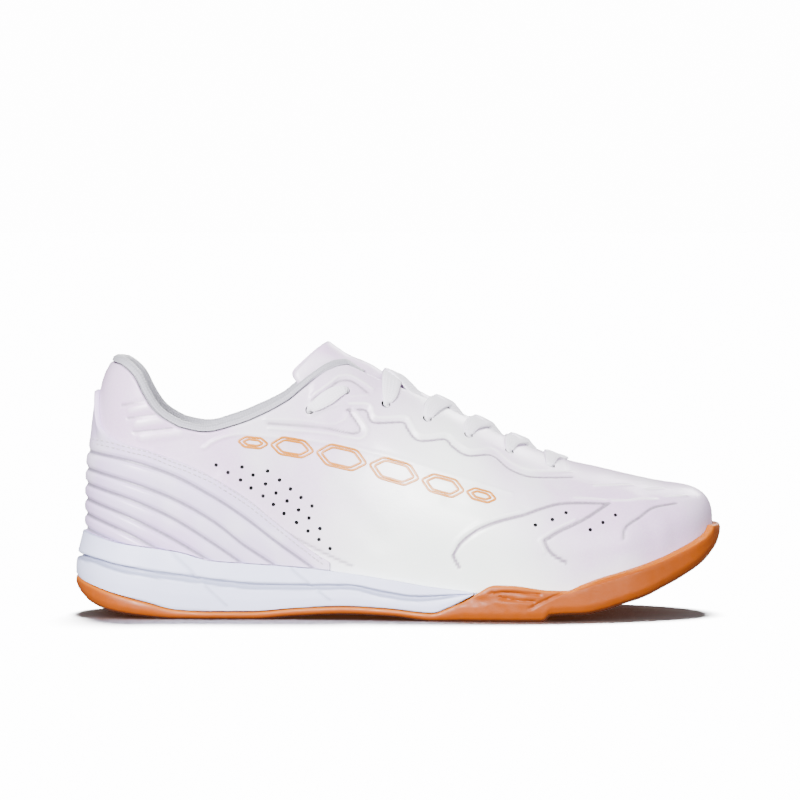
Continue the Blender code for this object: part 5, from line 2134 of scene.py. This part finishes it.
class SHOE_OT_heel_cup(bpy.types.Operator):
    """Makes the ribbed counter round the heel"""

    bl_idname = "shoe.heel_cup"
    bl_label = "Heel cup"

    def execute(self, context):
        make_heel_counter()
        return {"FINISHED"}


class SHOE_OT_midsole(bpy.types.Operator):
    """Makes the foam midsole with its recessed band"""

    bl_idname = "shoe.midsole"
    bl_label = "Midsole"

    def execute(self, context):
        make_midsole()
        return {"FINISHED"}


class SHOE_OT_outsole(bpy.types.Operator):
    """Makes the gum outsole with its cup wall and tread"""

    bl_idname = "shoe.outsole"
    bl_label = "Outsole"

    def execute(self, context):
        make_outsole()
        return {"FINISHED"}


class SHOE_OT_collar(bpy.types.Operator):
    """Makes the padded satin roll of the collar"""

    bl_idname = "shoe.collar"
    bl_label = "Collar"

    def execute(self, context):
        make_collar()
        return {"FINISHED"}


class SHOE_OT_lining(bpy.types.Operator):
    """Makes the thin lining inside the shell"""

    bl_idname = "shoe.lining"
    bl_label = "Lining"

    def execute(self, context):
        make_lining()
        return {"FINISHED"}


class SHOE_OT_insole(bpy.types.Operator):
    """Makes the footbed"""

    bl_idname = "shoe.insole"
    bl_label = "Insole"

    def execute(self, context):
        make_insole()
        return {"FINISHED"}


class SHOE_OT_tongue(bpy.types.Operator):
    """Makes the padded tongue"""

    bl_idname = "shoe.tongue"
    bl_label = "Tongue"

    def execute(self, context):
        make_tongue()
        return {"FINISHED"}


class SHOE_OT_laces(bpy.types.Operator):
    """Makes the flat lace through its eyelets"""

    bl_idname = "shoe.laces"
    bl_label = "Lace"

    def execute(self, context):
        make_laces()
        return {"FINISHED"}


class SHOE_OT_stitches(bpy.types.Operator):
    """Makes the double rows of stitches on the heel"""

    bl_idname = "shoe.stitches"
    bl_label = "Stitches"

    def execute(self, context):
        make_stitches()
        return {"FINISHED"}


class SHOE_OT_accent(bpy.types.Operator):
    """Makes the plain gold accent on both sides"""

    bl_idname = "shoe.accent"
    bl_label = "Accent"

    def execute(self, context):
        make_accent()
        return {"FINISHED"}


class SHOE_OT_stage(bpy.types.Operator):
    """Makes the floor, the backdrop and the lights"""

    bl_idname = "shoe.stage"
    bl_label = "Stage"

    def execute(self, context):
        make_stage()
        return {"FINISHED"}


class SHOE_OT_camera(bpy.types.Operator):
    """Makes the camera at the photograph's angle"""

    bl_idname = "shoe.camera"
    bl_label = "Camera"

    def execute(self, context):
        make_camera()
        return {"FINISHED"}


OPERATORS = (
    SHOE_OT_shell,
    SHOE_OT_heel_cup,
    SHOE_OT_midsole,
    SHOE_OT_outsole,
    SHOE_OT_collar,
    SHOE_OT_lining,
    SHOE_OT_insole,
    SHOE_OT_tongue,
    SHOE_OT_laces,
    SHOE_OT_stitches,
    SHOE_OT_accent,
    SHOE_OT_stage,
    SHOE_OT_camera,
)


class SHOE_PT_pieces(bpy.types.Panel):
    """Lists the shoe's pieces with their sizes and colours."""

    bl_label = "Indoor soccer shoe"
    bl_space_type = "VIEW_3D"
    bl_region_type = "UI"
    bl_category = "Shoe"

    def draw(self, context):
        layout = self.layout
        for group in (context.scene.shoe_sizes, context.scene.shoe_colours, context.scene.shoe_stage):
            for name in group.bl_rna.properties.keys():
                if name not in ("rna_type", "name"):
                    layout.prop(group, name)
        for kind in OPERATORS:
            layout.operator(kind.bl_idname)


GROUPS = {"shoe_sizes": ShoeSizes, "shoe_colours": ShoeColours, "shoe_stage": ShoeStage}


def register():
    """Adds the sizes, the operators and the panel to Blender."""
    for kind in [*GROUPS.values(), *OPERATORS, SHOE_PT_pieces]:
        bpy.utils.register_class(kind)
    for name, kind in GROUPS.items():
        setattr(bpy.types.Scene, name, PointerProperty(type=kind))


def unregister():
    """Takes them away again."""
    for name in GROUPS:
        delattr(bpy.types.Scene, name)
    for kind in [SHOE_PT_pieces, *reversed(OPERATORS), *GROUPS.values()]:
        bpy.utils.unregister_class(kind)


def main():
    """Makes every piece, the stage and the camera."""
    register()
    for kind in OPERATORS:
        getattr(bpy.ops.shoe, kind.bl_idname.split(".")[1])()


if __name__ == "__main__":
    main()
